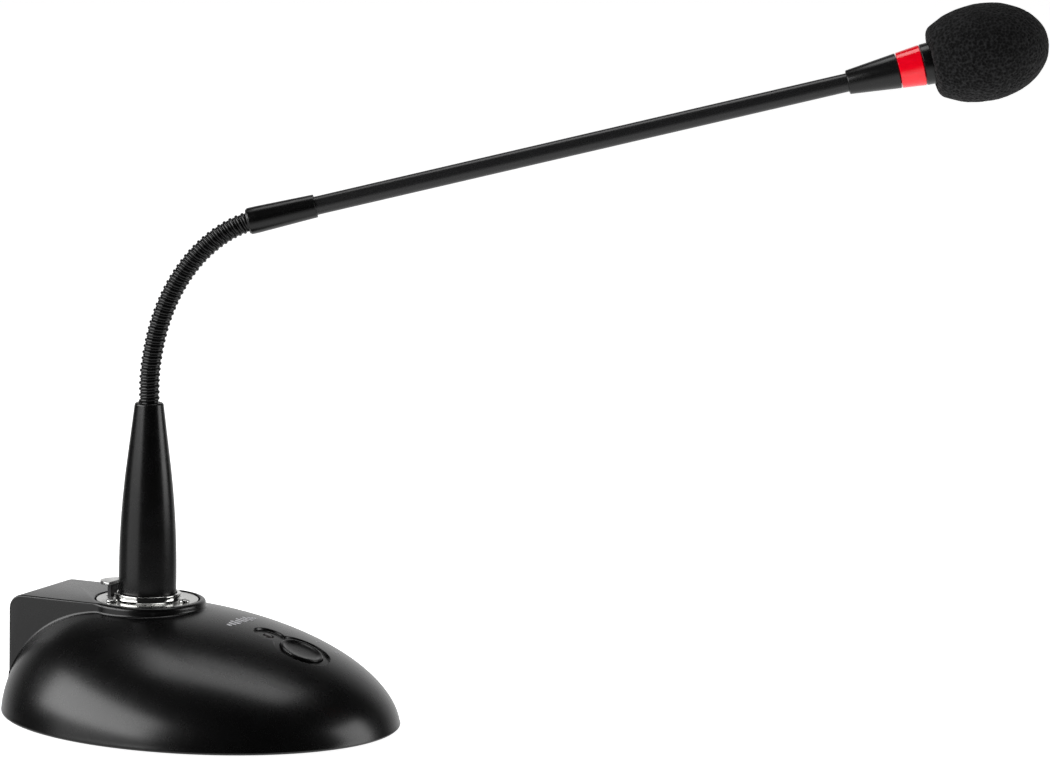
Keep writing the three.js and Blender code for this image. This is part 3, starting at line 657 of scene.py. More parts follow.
def level_marks():
    """A printed row of bars of rising and falling height, a plain sound-level sign, on the dome."""
    heights = [1.8, 2.8, 3.9, 2.6, 4.4, 3.2, 4.0, 2.6, 1.8]
    step, width, lift = 2.15, 1.1, 0.08
    centre_x, centre_y = 3.0, -34.2
    points, faces = [], []
    for i, height in enumerate(heights):
        middle = centre_x + (i - (len(heights) - 1) / 2) * step
        add_patch(points, faces, middle, centre_y, width, height, lift)
    return mesh_from("level_marks", points, faces)


def add_patch(points, faces, centre_x, centre_y, width, length, lift, steps=6):
    """A thin printed patch with rounded ends that follows the dome."""
    r = width / 2
    straight = max(length / 2 - r, 0)
    outline = [(centre_x + x, centre_y + straight + y) for x, y in arc(0, 0, r, 0, 180, steps)]
    outline += [(centre_x + x, centre_y - straight + y) for x, y in arc(0, 0, r, 180, 360, steps)]
    start = len(points)
    for x, y in outline:
        normal = dome_normal(x, y)
        base = Vector((x, y, float(dome_height(x, y))))
        points.append(base + normal * lift)
        points.append(base - normal * 0.1)
    count = len(outline)
    faces.append([start + 2 * i for i in range(count)])
    faces.append([start + 2 * i + 1 for i in range(count)][::-1])
    for i in range(count):
        j = (i + 1) % count
        faces.append([start + 2 * i, start + 2 * i + 1, start + 2 * j + 1, start + 2 * j])


def switch_marks():
    """Two small printed marks beside the button: three short bars, and below them a dot and a bar."""
    dot, bar, lift = (0.95, 0.95), (0.42, 1.1), 0.04
    upper, lower = -55.6, -62.9
    points, faces = [], []
    for x in (16.2, 17.2, 18.2):
        add_patch(points, faces, x, upper, *bar, lift)
    add_patch(points, faces, 16.4, lower, *dot, lift)
    add_patch(points, faces, 17.8, lower, *bar, lift)
    return mesh_from("switch_marks", points, faces)


# ---------------- mic unit


def make_sleeve():
    """The tapered sleeve: a straight foot that eases into a cone with a rounded shoulder."""
    cone_start = SLEEVE_TOP - (SLEEVE_RADIUS - SLEEVE_TOP_RADIUS) / SLEEVE_TAPER
    ease, hollow = 18, 8.9
    outline = [(hollow, SLEEVE_BOTTOM), *arc(SLEEVE_RADIUS - 0.4, SLEEVE_BOTTOM + 0.4, 0.4, 270, 360, 4)]
    for t in np.linspace(0, 1, 25):
        radius = SLEEVE_RADIUS - SLEEVE_TAPER * ease * t**2
        outline.append((radius, cone_start - ease + 2 * ease * t))
    shoulder = 0.9
    outline += arc(SLEEVE_TOP_RADIUS - shoulder, SLEEVE_TOP - shoulder, shoulder, 4, 90, 8)
    bore = NECK_CREST + 0.1
    outline += [(bore + 0.15, SLEEVE_TOP), (bore, SLEEVE_TOP - 0.2), (bore, SLEEVE_TOP - 14), (hollow, 61)]
    return turned("plug_in_sleeve", outline, sides=144, closed=True)


def make_plug_barrel():
    outline = [(8.2, 22.9), *arc(9.05, 23.3, 0.4, 270, 360, 4), (9.45, 40.7), (8.55, 40.7), (8.55, 47),
               (7.6, 47), (7.6, 42.5), (8.2, 42.2)]
    piece = turned("plug_shell", outline, sides=112, closed=True)
    cut(piece, box("key_groove", (-1.2, 8.9, 20), (1.2, 12, 33)))
    return piece


# ---------------- neck


def neck_path():
    """The neck's centre line, curved from the middle of one link to the next, and those middles."""
    joints = [Vector(JOINTS[f"neck_bend_{k}"]["pos_m"]) / MM for k in range(1, NECK_JOINTS + 1)]
    along = Vector(JOINTS["windscreen_pull"]["axis"]).normalized()
    middles = [Vector((0, 0, (SLEEVE_TOP + joints[0].z) / 2))]
    middles += [(low + high) / 2 for low, high in zip(joints, joints[1:])]
    in_ferrule = 3.6
    middles.append(joints[-1] + along * in_ferrule)
    points = [Vector((0, 0, z)) for z in np.linspace(NECK_FOOT, middles[0].z, 30)[:-1]]
    ends = [middles[0]]
    for joint, low, high in zip(joints, middles, middles[1:]):
        for t in np.linspace(0, 1, 41)[:-1]:
            points.append(low * (1 - t) ** 2 + joint * 2 * t * (1 - t) + high * t**2)
        ends.append(high)
    points.append(middles[-1])
    return points, ends


def wire_profile(share):
    """Outer radius over one pitch: a round wire, and a lower filler wire between its turns."""
    wire_radius, wire_place, filler_place, filler_depth = 0.58, 0.3, 0.8, 0.38
    across = (share - wire_place) * NECK_PITCH
    if abs(across) < wire_radius * 0.97:
        return NECK_CREST - wire_radius + math.sqrt(wire_radius**2 - across**2)
    across = (share - filler_place) * NECK_PITCH
    return NECK_CREST - filler_depth - 1.5 * across**2


def make_neck():
    """Two wires wound side by side, as one helical surface, split into a piece for each joint."""
    points, ends = neck_path()
    bend_axis = Vector(JOINTS["neck_bend_1"]["axis"]).normalized()
    places = np.array([list(p) for p in points])
    lengths = lengths_along(places)
    total = lengths[-1]
    around, across = 48, 16
    steps = int((total - NECK_PITCH) / NECK_PITCH * around)
    profile = [wire_profile((j + 0.5) / across) for j in range(across)]

    def centre(s):
        return Vector([float(np.interp(s, lengths, places[:, axis])) for axis in range(3)])

    vertices = []
    for i in range(steps + 1):
        angle = 2 * math.pi * (i % around) / around
        for j in range(across):
            s = NECK_PITCH * (i / around + j / across)
            here = centre(s)
            forward = (centre(min(s + 0.3, total)) - centre(max(s - 0.3, 0))).normalized()
            side = bend_axis.cross(forward)
            vertices.append(here + (side * math.cos(angle) + bend_axis * math.sin(angle)) * profile[j])

    def index(i, j):
        return (i + around) * across if j == across else i * across + j

    stops = []
    for end in ends:
        nearest = int(np.argmin(np.linalg.norm(places - np.array(end), axis=1)))
        stops.append(int(lengths[nearest] / NECK_PITCH * around))
    stops = [0] + stops[:-1] + [steps - around]
    pieces = []
    for k, (first, last) in enumerate(zip(stops, stops[1:])):
        faces = []
        for i in range(first, min(last, steps - around)):
            for j in range(across):
                faces.append([index(i, j), index(i + 1, j), index(i + 1, j + 1), index(i, j + 1)])
        used = sorted({v for face in faces for v in face})
        fresh = {old: new for new, old in enumerate(used)}
        faces = [[fresh[v] for v in face] for face in faces]
        pieces.append(mesh_from(f"neck_coil_{k}", [vertices[v] for v in used], faces))
    return pieces, ends


# ---------------- boom and head


def boom_place(along=0.0):
    """The boom's frame: Z along it from the last neck joint, Y along the neck's bend axis."""
    last = JOINTS[f"neck_bend_{NECK_JOINTS}"]
    axis = Vector(JOINTS["windscreen_pull"]["axis"]).normalized()
    return place_at(Vector(last["pos_m"]) / MM + axis * along, axis, last["axis"])


def make_ferrule():
    """A sleeve that grips the neck's end and the tube, its neck end chamfered round a thin lip."""
    bore, seat, edge = NECK_CREST + 0.15, TUBE_RADIUS + 0.06, 0.25
    outline = [(seat, 7), (bore, 6), (bore, FERRULE_START + 0.4), (bore + 0.15, FERRULE_START + 0.2),
               (bore + 0.35, FERRULE_START + 0.2),
               *arc(FERRULE_RADIUS - 0.5, FERRULE_START + 1.0, 0.5, -60, 0, 5), (FERRULE_RADIUS, 4),
               (FERRULE_END_RADIUS, FERRULE_END - 0.3),
               *arc(FERRULE_END_RADIUS - edge, FERRULE_END - edge, edge, 10, 90, 4), (seat, FERRULE_END)]
    return turned("neck_ferrule_sleeve", outline, boom_place(), 112, closed=True)


def make_tube():
    inner, low, high = TUBE_RADIUS - 0.8, FERRULE_START + 7.3, HEAD_START + 9
    outline = [(inner, low), (TUBE_RADIUS, low), (TUBE_RADIUS, high), (inner, high)]
    return turned("boom_tube_long", outline, boom_place(), 96, closed=True)


def head_radius(place):
    return HEAD_SMALL_RADIUS + HEAD_SLOPE * place


def make_cone():
    end, seat, small = RING_START - PART_GAP, TUBE_RADIUS + 0.06, HEAD_SMALL_RADIUS
    outline = [(seat, 0.15), (small - 0.35, 0), (small - 0.1, 0.08), (small + 0.04, 0.35),
               (head_radius(end - 0.2), end - 0.2), (head_radius(end) - 0.2, end), (HEAD_BORE, end),
               (HEAD_BORE, end - 5), (seat, end - 7)]
    return turned("head_taper", outline, boom_place(HEAD_START), 112, closed=True)


def make_ring():
    low, high, edge, proud = RING_START + PART_GAP, RING_END - PART_GAP, 0.18, 0.02
    outline = [(HEAD_BORE, low), (head_radius(low) - edge, low), (head_radius(low) + proud, low + edge),
               (head_radius(high) + proud, high - edge), (head_radius(high) - edge, high), (HEAD_BORE, high)]
    return turned("light_ring_clear", outline, boom_place(HEAD_START), 128, closed=True)


def make_collar():
    low, bore = RING_END + PART_GAP, 5.9
    outline = [(HEAD_BORE, low), (head_radius(low) - 0.2, low), (head_radius(low), low + 0.2),
               (HOUSING_RADIUS, FOAM_START + 0.6), (HOUSING_RADIUS, HOUSING_END - 0.3),
               (HOUSING_RADIUS - 0.3, HOUSING_END), (bore, HOUSING_END), (bore, low + 4),
               (HEAD_BORE, low + 3.4)]
    return turned("head_neck_collar", outline, boom_place(HEAD_START), 112, closed=True)


def make_grille():
    """An open wire screen over the capsule: a rounded can of crossed wires on a solid rim."""
    low, straight_end, dome = HOUSING_END + 0.3, HOUSING_END + 10.3, 4.8
    skin = HOUSING_RADIUS - 0.2
    rows = [(skin, z) for z in np.linspace(low + 1.2, straight_end, 12)]
    for angle in np.linspace(0, math.pi / 2, 12)[1:-1]:
        rows.append((skin * math.cos(angle), straight_end + dome * math.sin(angle)))
    rows.append((0, straight_end + dome))
    screen = turned("capsule_screen", rows, boom_place(HEAD_START), 48)
    wires = screen.modifiers.new("wires", "WIREFRAME")
    wires.thickness = 0.34
    wires.use_even_offset = False
    depsgraph = bpy.context.evaluated_depsgraph_get()
    screen.data = bpy.data.meshes.new_from_object(screen.evaluated_get(depsgraph))
    screen.modifiers.clear()
    inner, top = HOUSING_RADIUS - 0.8, low + 1.4
    outline = [(inner, low), (HOUSING_RADIUS, low), (HOUSING_RADIUS, top), (inner, top)]
    rim = turned("rim", outline, boom_place(HEAD_START), 96, closed=True)
    made = bmesh.new()
    made.from_mesh(screen.data)
    made.from_mesh(rim.data)
    made.to_mesh(screen.data)
    made.free()
    bpy.data.objects.remove(rim)
    return screen


def make_capsule():
    low, high, radius, edge = HOUSING_END - 3, HOUSING_END + 4, 4.85, 0.4
    outline = [(0, low), (radius, low), (radius, high - edge),
               *arc(radius - edge, high - edge, edge, 0, 90, 4),
               (3.2, high), (3.1, high - 0.3), (0, high - 0.3)]
    return turned("electret_capsule", outline, boom_place(HEAD_START), 64)


def foam_outline():
    """The foam's section: a blunt rear rolled in round the neck, a belly, a round nose and a blind bore."""
    bore, depth, lip = 7.25, 22.0, 2.5
    rear_angle = math.asin((FOAM_BELLY - lip) / FOAM_REAR)
    corner = FOAM_RADIUS * math.cos(rear_angle)
    control = [((bore, FOAM_START + lip), (bore, FOAM_START), (bore + 1.4, FOAM_START)),
               ((bore + 1.4, FOAM_START), (corner - 1, FOAM_START), (corner, FOAM_START + lip))]
    outline = []
    for a, b, c in control:
        for t in np.linspace(0, 1, 9)[:-1]:
            outline.append(tuple((1 - t) ** 2 * a[n] + 2 * t * (1 - t) * b[n] + t**2 * c[n] for n in (0, 1)))
    belly = FOAM_START + FOAM_BELLY
    for angle in np.linspace(-rear_angle, 0, 40)[:-1]:
        outline.append((FOAM_RADIUS * math.cos(angle), belly + FOAM_REAR * math.sin(angle)))
    for angle in np.linspace(0, math.pi / 2, 60)[:-1]:
        outline.append((FOAM_RADIUS * math.cos(angle), belly + FOAM_FRONT * math.sin(angle)))
    outline.append((0, belly + FOAM_FRONT))
    outer = len(outline)
    floor = FOAM_START + depth
    outline += [(0, floor), (bore - 1.5, floor), (bore - 0.3, floor - 0.6), (bore, floor - 3)]
    return outline, outer


def spaced(outline, gap):
    """The same outline with points at even spacing."""
    places = np.array(outline)
    lengths = lengths_along(places)
    count = int(lengths[-1] / gap)
    even = np.linspace(0, lengths[-1], count + 1)
    radii = np.interp(even, lengths, places[:, 0])
    heights = np.interp(even, lengths, places[:, 1])
    return [(float(radius), float(height)) for radius, height in zip(radii, heights)]


def make_foam():
    """Open-cell foam: a fine skin pitted by its cells, softly uneven and drooping a little at the nose."""
    outline, outer = foam_outline()
    skin = spaced(outline[:outer], 0.3)
    bore = outline[outer:]
    sides = 330
    foam = turned("foam_ball", skin[:-1] + [(0, skin[-1][1])] + bore[1:], sides=sides)
    cell, pit, sag = 1.05, 0.34, 0.75
    made = bmesh.new()
    made.from_mesh(foam.data)
    bmesh.ops.holes_fill(made, edges=[e for e in made.edges if e.is_boundary], sides=0)
    made.normal_update()
    moves = []
    for vertex in made.verts:
        here = vertex.co
        radius = math.hypot(here.x, here.y)
        inside = radius < 7.6 and FOAM_START + 1 < here.z < FOAM_START + 22.5
        if inside or len(vertex.link_edges) < 3:
            moves.append(Vector())
            continue
        near, _ = noise.voronoi(here / cell, distance_metric="DISTANCE")
        pore = max(0.0, 1 - near[0] / 0.55)
        swell = 0.18 * noise.noise(here / 9.0) + 0.1 * noise.noise(here / 3.5)
        moves.append(vertex.normal * (swell - pit * pore**0.7))
    for vertex, move in zip(made.verts, moves):
        droop = min(max((vertex.co.z - FOAM_START) / 30, 0), 1)
        vertex.co += move
        vertex.co.x += sag * droop
    made.to_mesh(foam.data)
    made.free()
    foam.data.transform(boom_place(HEAD_START))
    return foam


# ---------------- materials


def new_material(name):
    """An empty node material, its node tree and its Principled shader."""
    made = bpy.data.materials.new(name)
    made.use_nodes = True
    return made, made.node_tree, made.node_tree.nodes["Principled BSDF"]


def set_inputs(node, values):
    for socket, value in values.items():
        node.inputs[socket].default_value = value


def millimetre_place(tree):
    """Object coordinates in millimetres."""
    place = tree.nodes.new("ShaderNodeTexCoord")
    scaled = tree.nodes.new("ShaderNodeMapping")
    scaled.inputs["Scale"].default_value = (1 / MM, 1 / MM, 1 / MM)
    tree.links.new(place.outputs["Object"], scaled.inputs["Vector"])
    return scaled.outputs["Vector"]


def noise_node(tree, place, scale, detail=6.0):
    made = tree.nodes.new("ShaderNodeTexNoise")
    set_inputs(made, {"Scale": scale, "Detail": detail, "Roughness": 0.6})
    tree.links.new(place, made.inputs["Vector"])
    return made.outputs["Fac"]


def ramp_node(tree, value, stops):
    made = tree.nodes.new("ShaderNodeValToRGB")
    made.color_ramp.elements[0].position = stops[0][0]
    made.color_ramp.elements[0].color = (*stops[0][1], 1)
    made.color_ramp.elements[1].position = stops[-1][0]
    made.color_ramp.elements[1].color = (*stops[-1][1], 1)
    for position, colour in stops[1:-1]:
        made.color_ramp.elements.new(position).color = (*colour, 1)
    tree.links.new(value, made.inputs["Fac"])
    return made.outputs["Color"]


def range_node(tree, value, low, high, source=(0.3, 0.7)):
    made = tree.nodes.new("ShaderNodeMapRange")
    set_inputs(made, {"From Min": source[0], "From Max": source[1], "To Min": low, "To Max": high})
    tree.links.new(value, made.inputs["Value"])
    return made.outputs["Result"]


def bump_node(tree, value, strength, depth_mm, under=None):
    made = tree.nodes.new("ShaderNodeBump")
    set_inputs(made, {"Strength": strength, "Distance": depth_mm * MM})
    tree.links.new(value, made.inputs["Height"])
    if under:
        tree.links.new(under, made.inputs["Normal"])
    return made.outputs["Normal"]


def textured_surface(name, dark, pale, roughness, patch, grain, depth, edge_highlight=None, metallic=0.0):
    """Uneven colour and roughness at one scale, fine bump at another, and convex edges painted paler as a
    painted highlight.
    """
    made, tree, shader = new_material(name)
    place = millimetre_place(tree)
    broad = noise_node(tree, place, patch)
    fine = noise_node(tree, place, grain, detail=3.0)
    colour = ramp_node(tree, broad, [(0.3, dark), (0.7, pale)])
    # Convex edges, found by pointiness, are painted paler: a painted edge highlight.
    if edge_highlight:
        edge = tree.nodes.new("ShaderNodeNewGeometry").outputs["Pointiness"]
        amount = range_node(tree, edge, 0.0, 1.0, (0.53, 0.62))
        mix = tree.nodes.new("ShaderNodeMix")
        mix.data_type = "RGBA"
        mix.inputs["B"].default_value = (*edge_highlight, 1)
        tree.links.new(amount, mix.inputs["Factor"])
        tree.links.new(colour, mix.inputs["A"])
        colour = mix.outputs["Result"]
    tree.links.new(colour, shader.inputs["Base Color"])
    tree.links.new(range_node(tree, broad, *roughness), shader.inputs["Roughness"])
    tree.links.new(bump_node(tree, fine, 0.6, depth), shader.inputs["Normal"])
    shader.inputs["Metallic"].default_value = metallic
    return made


def grey(value, tint=1.04):
    return (value, value, value * tint)


def make_foam_material():
    made, tree, shader = new_material("open_cell_foam")
    place = millimetre_place(tree)
    cells = tree.nodes.new("ShaderNodeTexVoronoi")
    cells.inputs["Scale"].default_value = 1.2
    tree.links.new(place, cells.inputs["Vector"])
    fine = noise_node(tree, place, 5.0, detail=4.0)
    # The ramp darkens each cell towards its centre, where the cell bump sinks a pit: painted shade in the
    # pores.
    colour = ramp_node(tree, cells.outputs["Distance"],
                       [(0.0, grey(0.0006)), (0.4, grey(0.0025)), (0.8, grey(0.016))])
    tree.links.new(colour, shader.inputs["Base Color"])
    tree.links.new(range_node(tree, fine, 0.75, 0.95), shader.inputs["Roughness"])
    cell_bump = bump_node(tree, cells.outputs["Distance"], 0.8, 0.25)
    tree.links.new(bump_node(tree, fine, 0.5, 0.08, cell_bump), shader.inputs["Normal"])
    set_inputs(shader, {"Specular IOR Level": 0.15, "Sheen Weight": 0.04, "Sheen Roughness": 0.5})
    return made


def make_ring_material():
    made, tree, shader = new_material("clear_red_ring")
    place = millimetre_place(tree)
    cloud = noise_node(tree, place, 0.35, detail=2.0)
    fine = noise_node(tree, place, 6.0, detail=2.0)
    colour = ramp_node(tree, cloud, [(0.3, (0.66, 0.0, 0.008)), (0.7, (0.76, 0.001, 0.014))])
    tree.links.new(colour, shader.inputs["Base Color"])
    tree.links.new(range_node(tree, cloud, 0.14, 0.2), shader.inputs["Roughness"])
    tree.links.new(bump_node(tree, fine, 0.3, 0.01), shader.inputs["Normal"])
    # The weak red emission is painted glow: it brightens the unlit ring as if light shone through it.
    set_inputs(shader, {"Coat Weight": 0.6, "Coat Roughness": 0.06, "Subsurface Weight": 0.15,
                        "Subsurface Scale": 0.001, "Subsurface Radius": (1.0, 0.1, 0.1),
                        "Emission Color": (0.7, 0.0, 0.01, 1), "Emission Strength": 0.28})
    return made


def make_materials():
    """Every finish: its name, two colours, roughness, patch and grain scales, and bump depth in mm."""
    polished = grey(0.72, 0.97), grey(0.8, 0.97)
    satin = grey(0.62, 0.98), grey(0.74, 0.98)
    brass = (0.72, 0.5, 0.2), (0.85, 0.62, 0.28)
    board = (0.012, 0.09, 0.03), (0.02, 0.13, 0.045)
    dark_red = (0.004, 0.0005, 0.0008), (0.007, 0.0008, 0.001)
    surfaces = {
        "plastic": ("satin_black_plastic_grain", grey(0.0012), grey(0.0016), (0.26, 0.285), 0.12, 5, 0.002),
        "coated": ("satin_black_coating", grey(0.0011), grey(0.0016), (0.25, 0.285), 0.2, 6, 0.001),
        "wire": ("blackened_spring_wire", grey(0.0016), grey(0.003), (0.19, 0.26), 0.8, 7, 0.002),
        "polished": ("polished_nickel_plate", *polished, (0.06, 0.11), 0.4, 6, 0.001),
        "satin_nickel": ("satin_nickel_plate", *satin, (0.22, 0.32), 0.5, 7, 0.004),
        "zinc": ("zinc_plate", grey(0.42), grey(0.58), (0.25, 0.42), 0.4, 5, 0.006),
        "brass": ("contact_brass_plate", *brass, (0.16, 0.28), 0.6, 6, 0.003),
        "rubber": ("soft_black_rubber_grain", grey(0.008), grey(0.014), (0.62, 0.8), 0.5, 4, 0.03),
        "insulator": ("black_insulator_moulding", grey(0.008), grey(0.013), (0.42, 0.55), 0.4, 6, 0.006),
        "board": ("green_board_coating", *board, (0.25, 0.4), 0.3, 3, 0.01),
        "lens": ("dark_red_lens_plastic", *dark_red, (0.12, 0.18), 0.8, 6, 0.002),
        "print": ("white_print_ink", grey(0.62), grey(0.75), (0.4, 0.55), 1.5, 8, 0.004),
    }
    # Paler colours painted on the convex edges of the black finishes: painted edge highlights.
    painted_edge_highlights = {"plastic": grey(0.008), "coated": grey(0.012), "wire": grey(0.02)}
    metals = ("polished", "satin_nickel", "zinc", "brass")
    made = {"foam": make_foam_material(), "ring": make_ring_material()}
    for name, surface in surfaces.items():
        made[name] = textured_surface(*surface, painted_edge_highlights.get(name), 1.0 if name in metals else 0.0)
    return made


LOOKS = make_materials()


# ---------------- putting it together


def add_base():
    finish_piece(make_base_shell(), "base", "plastic", "base_shell")
    finish_piece(make_rest_pad(), "base", "rubber", "rest_pad")
    flange = finish_piece(make_flange(), "base", "polished", "socket_shell")
    brush_flange(flange)
    outline = [(0, 19.5), (9.65, 19.5), (9.65, 22.3), (7.8, 22.3), (7.8, 35.7), (7.5, 36), (0, 36)]
    insert = pierced_insert("socket_insert_moulding", outline, TUBE_HOLE, UPRIGHT)
    finish_piece(insert, "base", "insulator", "socket_insert")
    outline = [(0, 17), (2, 17), (2, 35.2), (1.8, 35.5), (1.3, 35.5), (1.2, 28), (0, 28)]
    for n, (x, y) in enumerate(in_thirds(CONTACT_CIRCLE), 1):
        contact = turned(f"contact_tube_{n}", outline, Matrix.Translation((x, y, 0)), 32)
        finish_piece(contact, "base", "brass", f"socket_contact_{n}")
    for n, (x, y) in enumerate(in_thirds(FLANGE_SCREW_CIRCLE), 1):
        seat = Matrix.Translation((x, y, FLANGE_TOP + 0.3))
        fixing = screw(f"flange_fixing_{n}", seat @ Matrix.Rotation(n, 4, "Z"))
        finish_piece(fixing, "base", "satin_nickel", f"flange_screw_{n}")
    for n, (x, y) in enumerate(POSTS, 1):
        seat = Matrix.Translation((x, y, 1.0)) @ Matrix.Rotation(math.pi, 4, "X")
        fixing = screw(f"plate_fixing_{n}", seat @ Matrix.Rotation(n, 4, "Z"), (2.9, 0.75), (1.4, 12.2))
        finish_piece(fixing, "base", "zinc", f"plate_screw_{n}")
    tab = finish_piece(make_release_tab(), "release_tab", "satin_nickel", "release_tab")
    tab.data.materials.append(LOOKS["insulator"])
    for face in tab.data.polygons:
        if face.center.z / MM < TAB_UNDERSIDE - 0.05:
            face.material_index = 1


def brush_flange(flange):
    """Gives the flange's flat top the satin finish, and leaves its rim and collar polished."""
    flange.data.materials.append(LOOKS["satin_nickel"])
    for face in flange.data.polygons:
        if face.normal.z > 0.7 and face.center.z / MM < FLANGE_TOP + 0.1:
            face.material_index = 1


def add_button():
    finish_piece(make_talk_button(), "talk_button", "plastic", "talk_button")
    low, high, edge = -10.4, -1.2, 0.4
    outline = [(0, low), (LENS_RADIUS, low), (LENS_RADIUS, high - edge),
               *arc(LENS_RADIUS - edge, high - edge, edge, 0, 90, 4), (0, high + 0.05)]
    lens = turned("status_window", outline, button_place() @ Matrix.Translation((0, LOBE_OFFSET, 0)), 40)
    finish_piece(lens, "base", "lens", "status_lens")
    finish_piece(level_marks(), "base", "print")
    finish_piece(switch_marks(), "base", "print")


def add_connector():
    finish_piece(make_output_shell(), "base", "coated", "output_shell")
    front = OUTPUT_FACE - 17
    outline = [(0, front - 5), (9.3, front - 5), (9.3, front - 0.3), (9, front), (0, front)]
    insert = pierced_insert("cable_insert_moulding", outline, PIN_HOLE, rear_place())
    finish_piece(insert, "base", "insulator", "output_insert")
    for n, (x, y) in enumerate(in_thirds(CONTACT_CIRCLE), 1):
        place = rear_place() @ Matrix.Translation((x, y, 0))
        contact = pin(f"cable_pin_{n}", PIN_RADIUS, front - 8, front + 10.5, place)
        finish_piece(contact, "base", "brass", f"output_pin_{n}")
    for n, (x, z) in enumerate(OUTPUT_SCREWS, 1):
        seat = rear_place() @ Matrix.Translation((x, z, OUTPUT_FACE - OUTPUT_SINK))
        fixing = screw(f"cable_fixing_{n}", seat @ Matrix.Rotation(n, 4, "Z"), (2.6, 0.75), (1.2, 7.5))
        finish_piece(fixing, "base", "zinc", f"output_screw_{n}")


def add_mic_unit():
    finish_piece(make_sleeve(), "mic_unit", "coated", "plug_sleeve")
    finish_piece(make_plug_barrel(), "mic_unit", "polished", "plug_barrel")
    outline = [(0, 36.4), (7.6, 36.4), (7.9, 36.7), (7.9, 41.5), (0, 41.5)]
    insert = pierced_insert("plug_insert_moulding", outline, PIN_HOLE, UPRIGHT)
    finish_piece(insert, "mic_unit", "insulator", "plug_insert")
    for n, (x, y) in enumerate(in_thirds(CONTACT_CIRCLE), 1):
        down = Matrix.Translation((x, y, 0)) @ Matrix.Rotation(math.pi, 4, "X")
        contact = pin(f"plug_contact_{n}", PIN_RADIUS, -44.5, -23.5, down)
        finish_piece(contact, "mic_unit", "brass", f"plug_pin_{n}")


def add_neck():
    coils, ends = make_neck()
    bodies = [f"neck_{k}" for k in range(NECK_JOINTS)] + ["boom"]
    for k, coil in enumerate(coils):
        nodes = [f"neck_link_{k}"] if k < NECK_JOINTS else []
        rides = bodies[0] if k == 0 else None
        finish_piece(coil, rides, "wire", *nodes)
        if k:
            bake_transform(coil)


def add_boom():
    finish_piece(make_ferrule(), "boom", "coated", "neck_ferrule")
    finish_piece(make_tube(), "boom", "coated", "boom_tube")
    finish_piece(make_cone(), "boom", "coated", "head_cone")
    finish_piece(make_ring(), "boom", "ring", "light_ring")
    finish_piece(make_collar(), "boom", "coated", "head_collar")
    finish_piece(make_grille(), "boom", "zinc", "capsule_grille")
    finish_piece(make_capsule(), "boom", "zinc", "mic_capsule")
    foam = finish_piece(make_foam(), "windscreen", "foam", "foam_windscreen")


def dress_cad_nodes():
    """Gives the inner CAD pieces that stay as they are their own materials."""
    kept = {
        "zinc": ("base_plate", "ballast_block", "board_screw_1", "board_screw_2"),
        "board": ("circuit_board",),
        "insulator": ("switch_body", "light_carrier"),
        "rubber": ("flange_gasket", "capsule_grommet"),
    }
    for finish, nodes in kept.items():
        for node in nodes:
            mesh = bpy.data.objects[node].data
            mesh.materials.clear()
            mesh.materials.append(LOOKS[finish])


# ---------------- camera, light and floor

CAMERA_PLACE = Vector((-1.37746, -0.77114, 0.33797))
CAMERA_TARGET = Vector((0.0619, -0.1091, 0.1142))
CAMERA_ROLL = math.radians(1.16)
CAMERA_LENS = 163.74
LIGHT_CENTRE = Vector((0.03, -0.07, 0.1))
LIGHT_DISTANCE = 1.3


def camera_axes():
    """The camera's right, up and forward directions, with its small roll."""
    forward = (CAMERA_TARGET - CAMERA_PLACE).normalized()
    level = forward.cross(Vector((0, 0, 1))).normalized()
    up = level.cross(forward)
    right = level * math.cos(CAMERA_ROLL) + up * math.sin(CAMERA_ROLL)
    return right, right.cross(forward), forward


def add_camera():
    right, up, forward = camera_axes()
    data = bpy.data.cameras.new("view_camera")
    data.lens = CAMERA_LENS
    data.sensor_width = 36
    data.clip_end = 20
    camera = bpy.data.objects.new("view_camera", data)
    turn = Matrix((right, up, -forward)).transposed().to_4x4()
    camera.matrix_world = Matrix.Translation(CAMERA_PLACE) @ turn
    bpy.context.scene.collection.objects.link(camera)
    bpy.context.scene.camera = camera


def add_softbox(name, towards, width, height, radiance):
    """A square softbox in a direction given as (right, up, towards the camera), facing the object."""
    right, up, forward = camera_axes()
    direction = (right * towards[0] + up * towards[1] - forward * towards[2]).normalized()
    data = bpy.data.lights.new(name, "AREA")
    data.shape = "RECTANGLE"
    data.size = 2 * LIGHT_DISTANCE * math.tan(math.radians(width / 2))
    data.size_y = 2 * LIGHT_DISTANCE * math.tan(math.radians(height / 2))
    data.energy = radiance * math.pi * data.size * data.size_y
    light = bpy.data.objects.new(name, data)
    light.location = LIGHT_CENTRE + direction * LIGHT_DISTANCE
    light.rotation_euler = direction.to_track_quat("Z", "Y").to_euler()
    light.visible_camera = False
    bpy.context.scene.collection.objects.link(light)


def facing(tree, direction, axis):
    """How closely a direction follows an axis: 1 along it, 0 across it."""
    made = tree.nodes.new("ShaderNodeVectorMath")
    made.operation = "DOT_PRODUCT"
    made.inputs[1].default_value = axis
    tree.links.new(direction, made.inputs[0])
    return made.outputs["Value"]


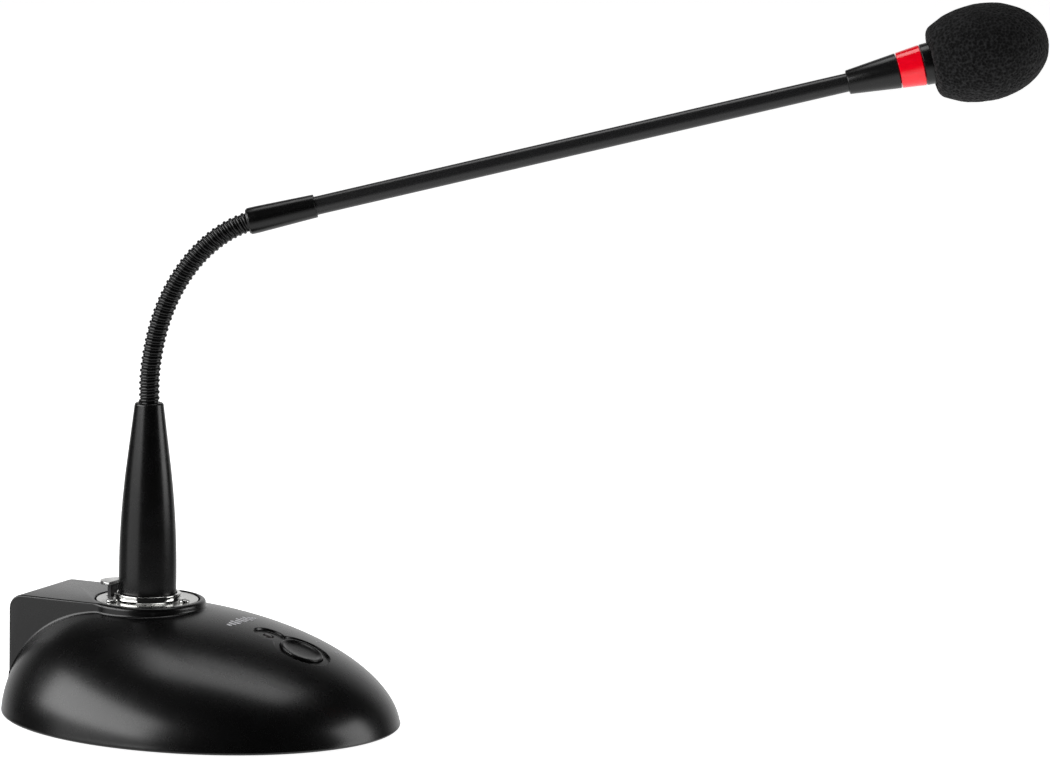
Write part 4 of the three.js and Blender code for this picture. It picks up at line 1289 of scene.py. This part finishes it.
def add_world():
    """White to the camera; to the object, a dark room with a bright wall behind and a pale floor."""
    _, _, forward = camera_axes()
    world = bpy.data.worlds.new("studio")
    bpy.context.scene.world = world
    world.use_nodes = True
    tree = world.node_tree
    direction = tree.nodes.new("ShaderNodeTexCoord").outputs["Generated"]
    behind = range_node(tree, facing(tree, direction, forward), 0.01, 0.95, (0.62, 1.0))
    below = range_node(tree, facing(tree, direction, (0, 0, -1)), 0.0, 0.9, (0.1, 0.55))
    brighter = tree.nodes.new("ShaderNodeMath")
    brighter.operation = "MAXIMUM"
    tree.links.new(behind, brighter.inputs[0])
    tree.links.new(below, brighter.inputs[1])
    seen = tree.nodes.new("ShaderNodeLightPath").outputs["Is Camera Ray"]
    mix = tree.nodes.new("ShaderNodeMix")
    tree.links.new(seen, mix.inputs["Factor"])
    tree.links.new(brighter.outputs["Value"], mix.inputs["A"])
    mix.inputs["B"].default_value = 1.0
    tree.links.new(mix.outputs["Result"], tree.nodes["Background"].inputs["Color"])


def add_floor():
    reach, level = 4000, -0.02
    points = [(-reach, -reach, level), (reach, -reach, level), (reach, reach, level), (-reach, reach, level)]
    floor = mesh_from("studio_floor", points, [[0, 1, 2, 3]])
    floor.data.transform(Matrix.Scale(MM, 4))
    paper, tree, shader = new_material("pale_paper")
    place = millimetre_place(tree)
    fibres = noise_node(tree, place, 0.05)
    colour = ramp_node(tree, fibres, [(0.3, grey(0.86, 1)), (0.7, grey(0.9, 1))])
    tree.links.new(colour, shader.inputs["Base Color"])
    set_inputs(shader, {"Roughness": 0.9, "Specular IOR Level": 0.0,
                        "Emission Color": (1, 1, 1, 1), "Emission Strength": 0.96})
    floor.data.materials.append(paper)
    floor.visible_glossy = False


def add_studio():
    add_camera()
    add_softbox("left_softbox", (-0.86, 0.375, 0.34), 62, 29, 4.7)
    add_softbox("left_fill", (-0.85, -0.02, 0.45), 52, 34, 0.9)
    add_softbox("right_softbox", (0.95, 0.2, 0.0), 30, 34, 3.0)
    add_softbox("top_softbox", (0.06, 0.99, -0.06), 44, 25, 2.5)
    add_world()
    add_floor()
    bpy.context.scene.view_settings.view_transform = "Standard"


add_base()
add_button()
add_connector()
add_mic_unit()
add_neck()
add_boom()
dress_cad_nodes()
add_studio()
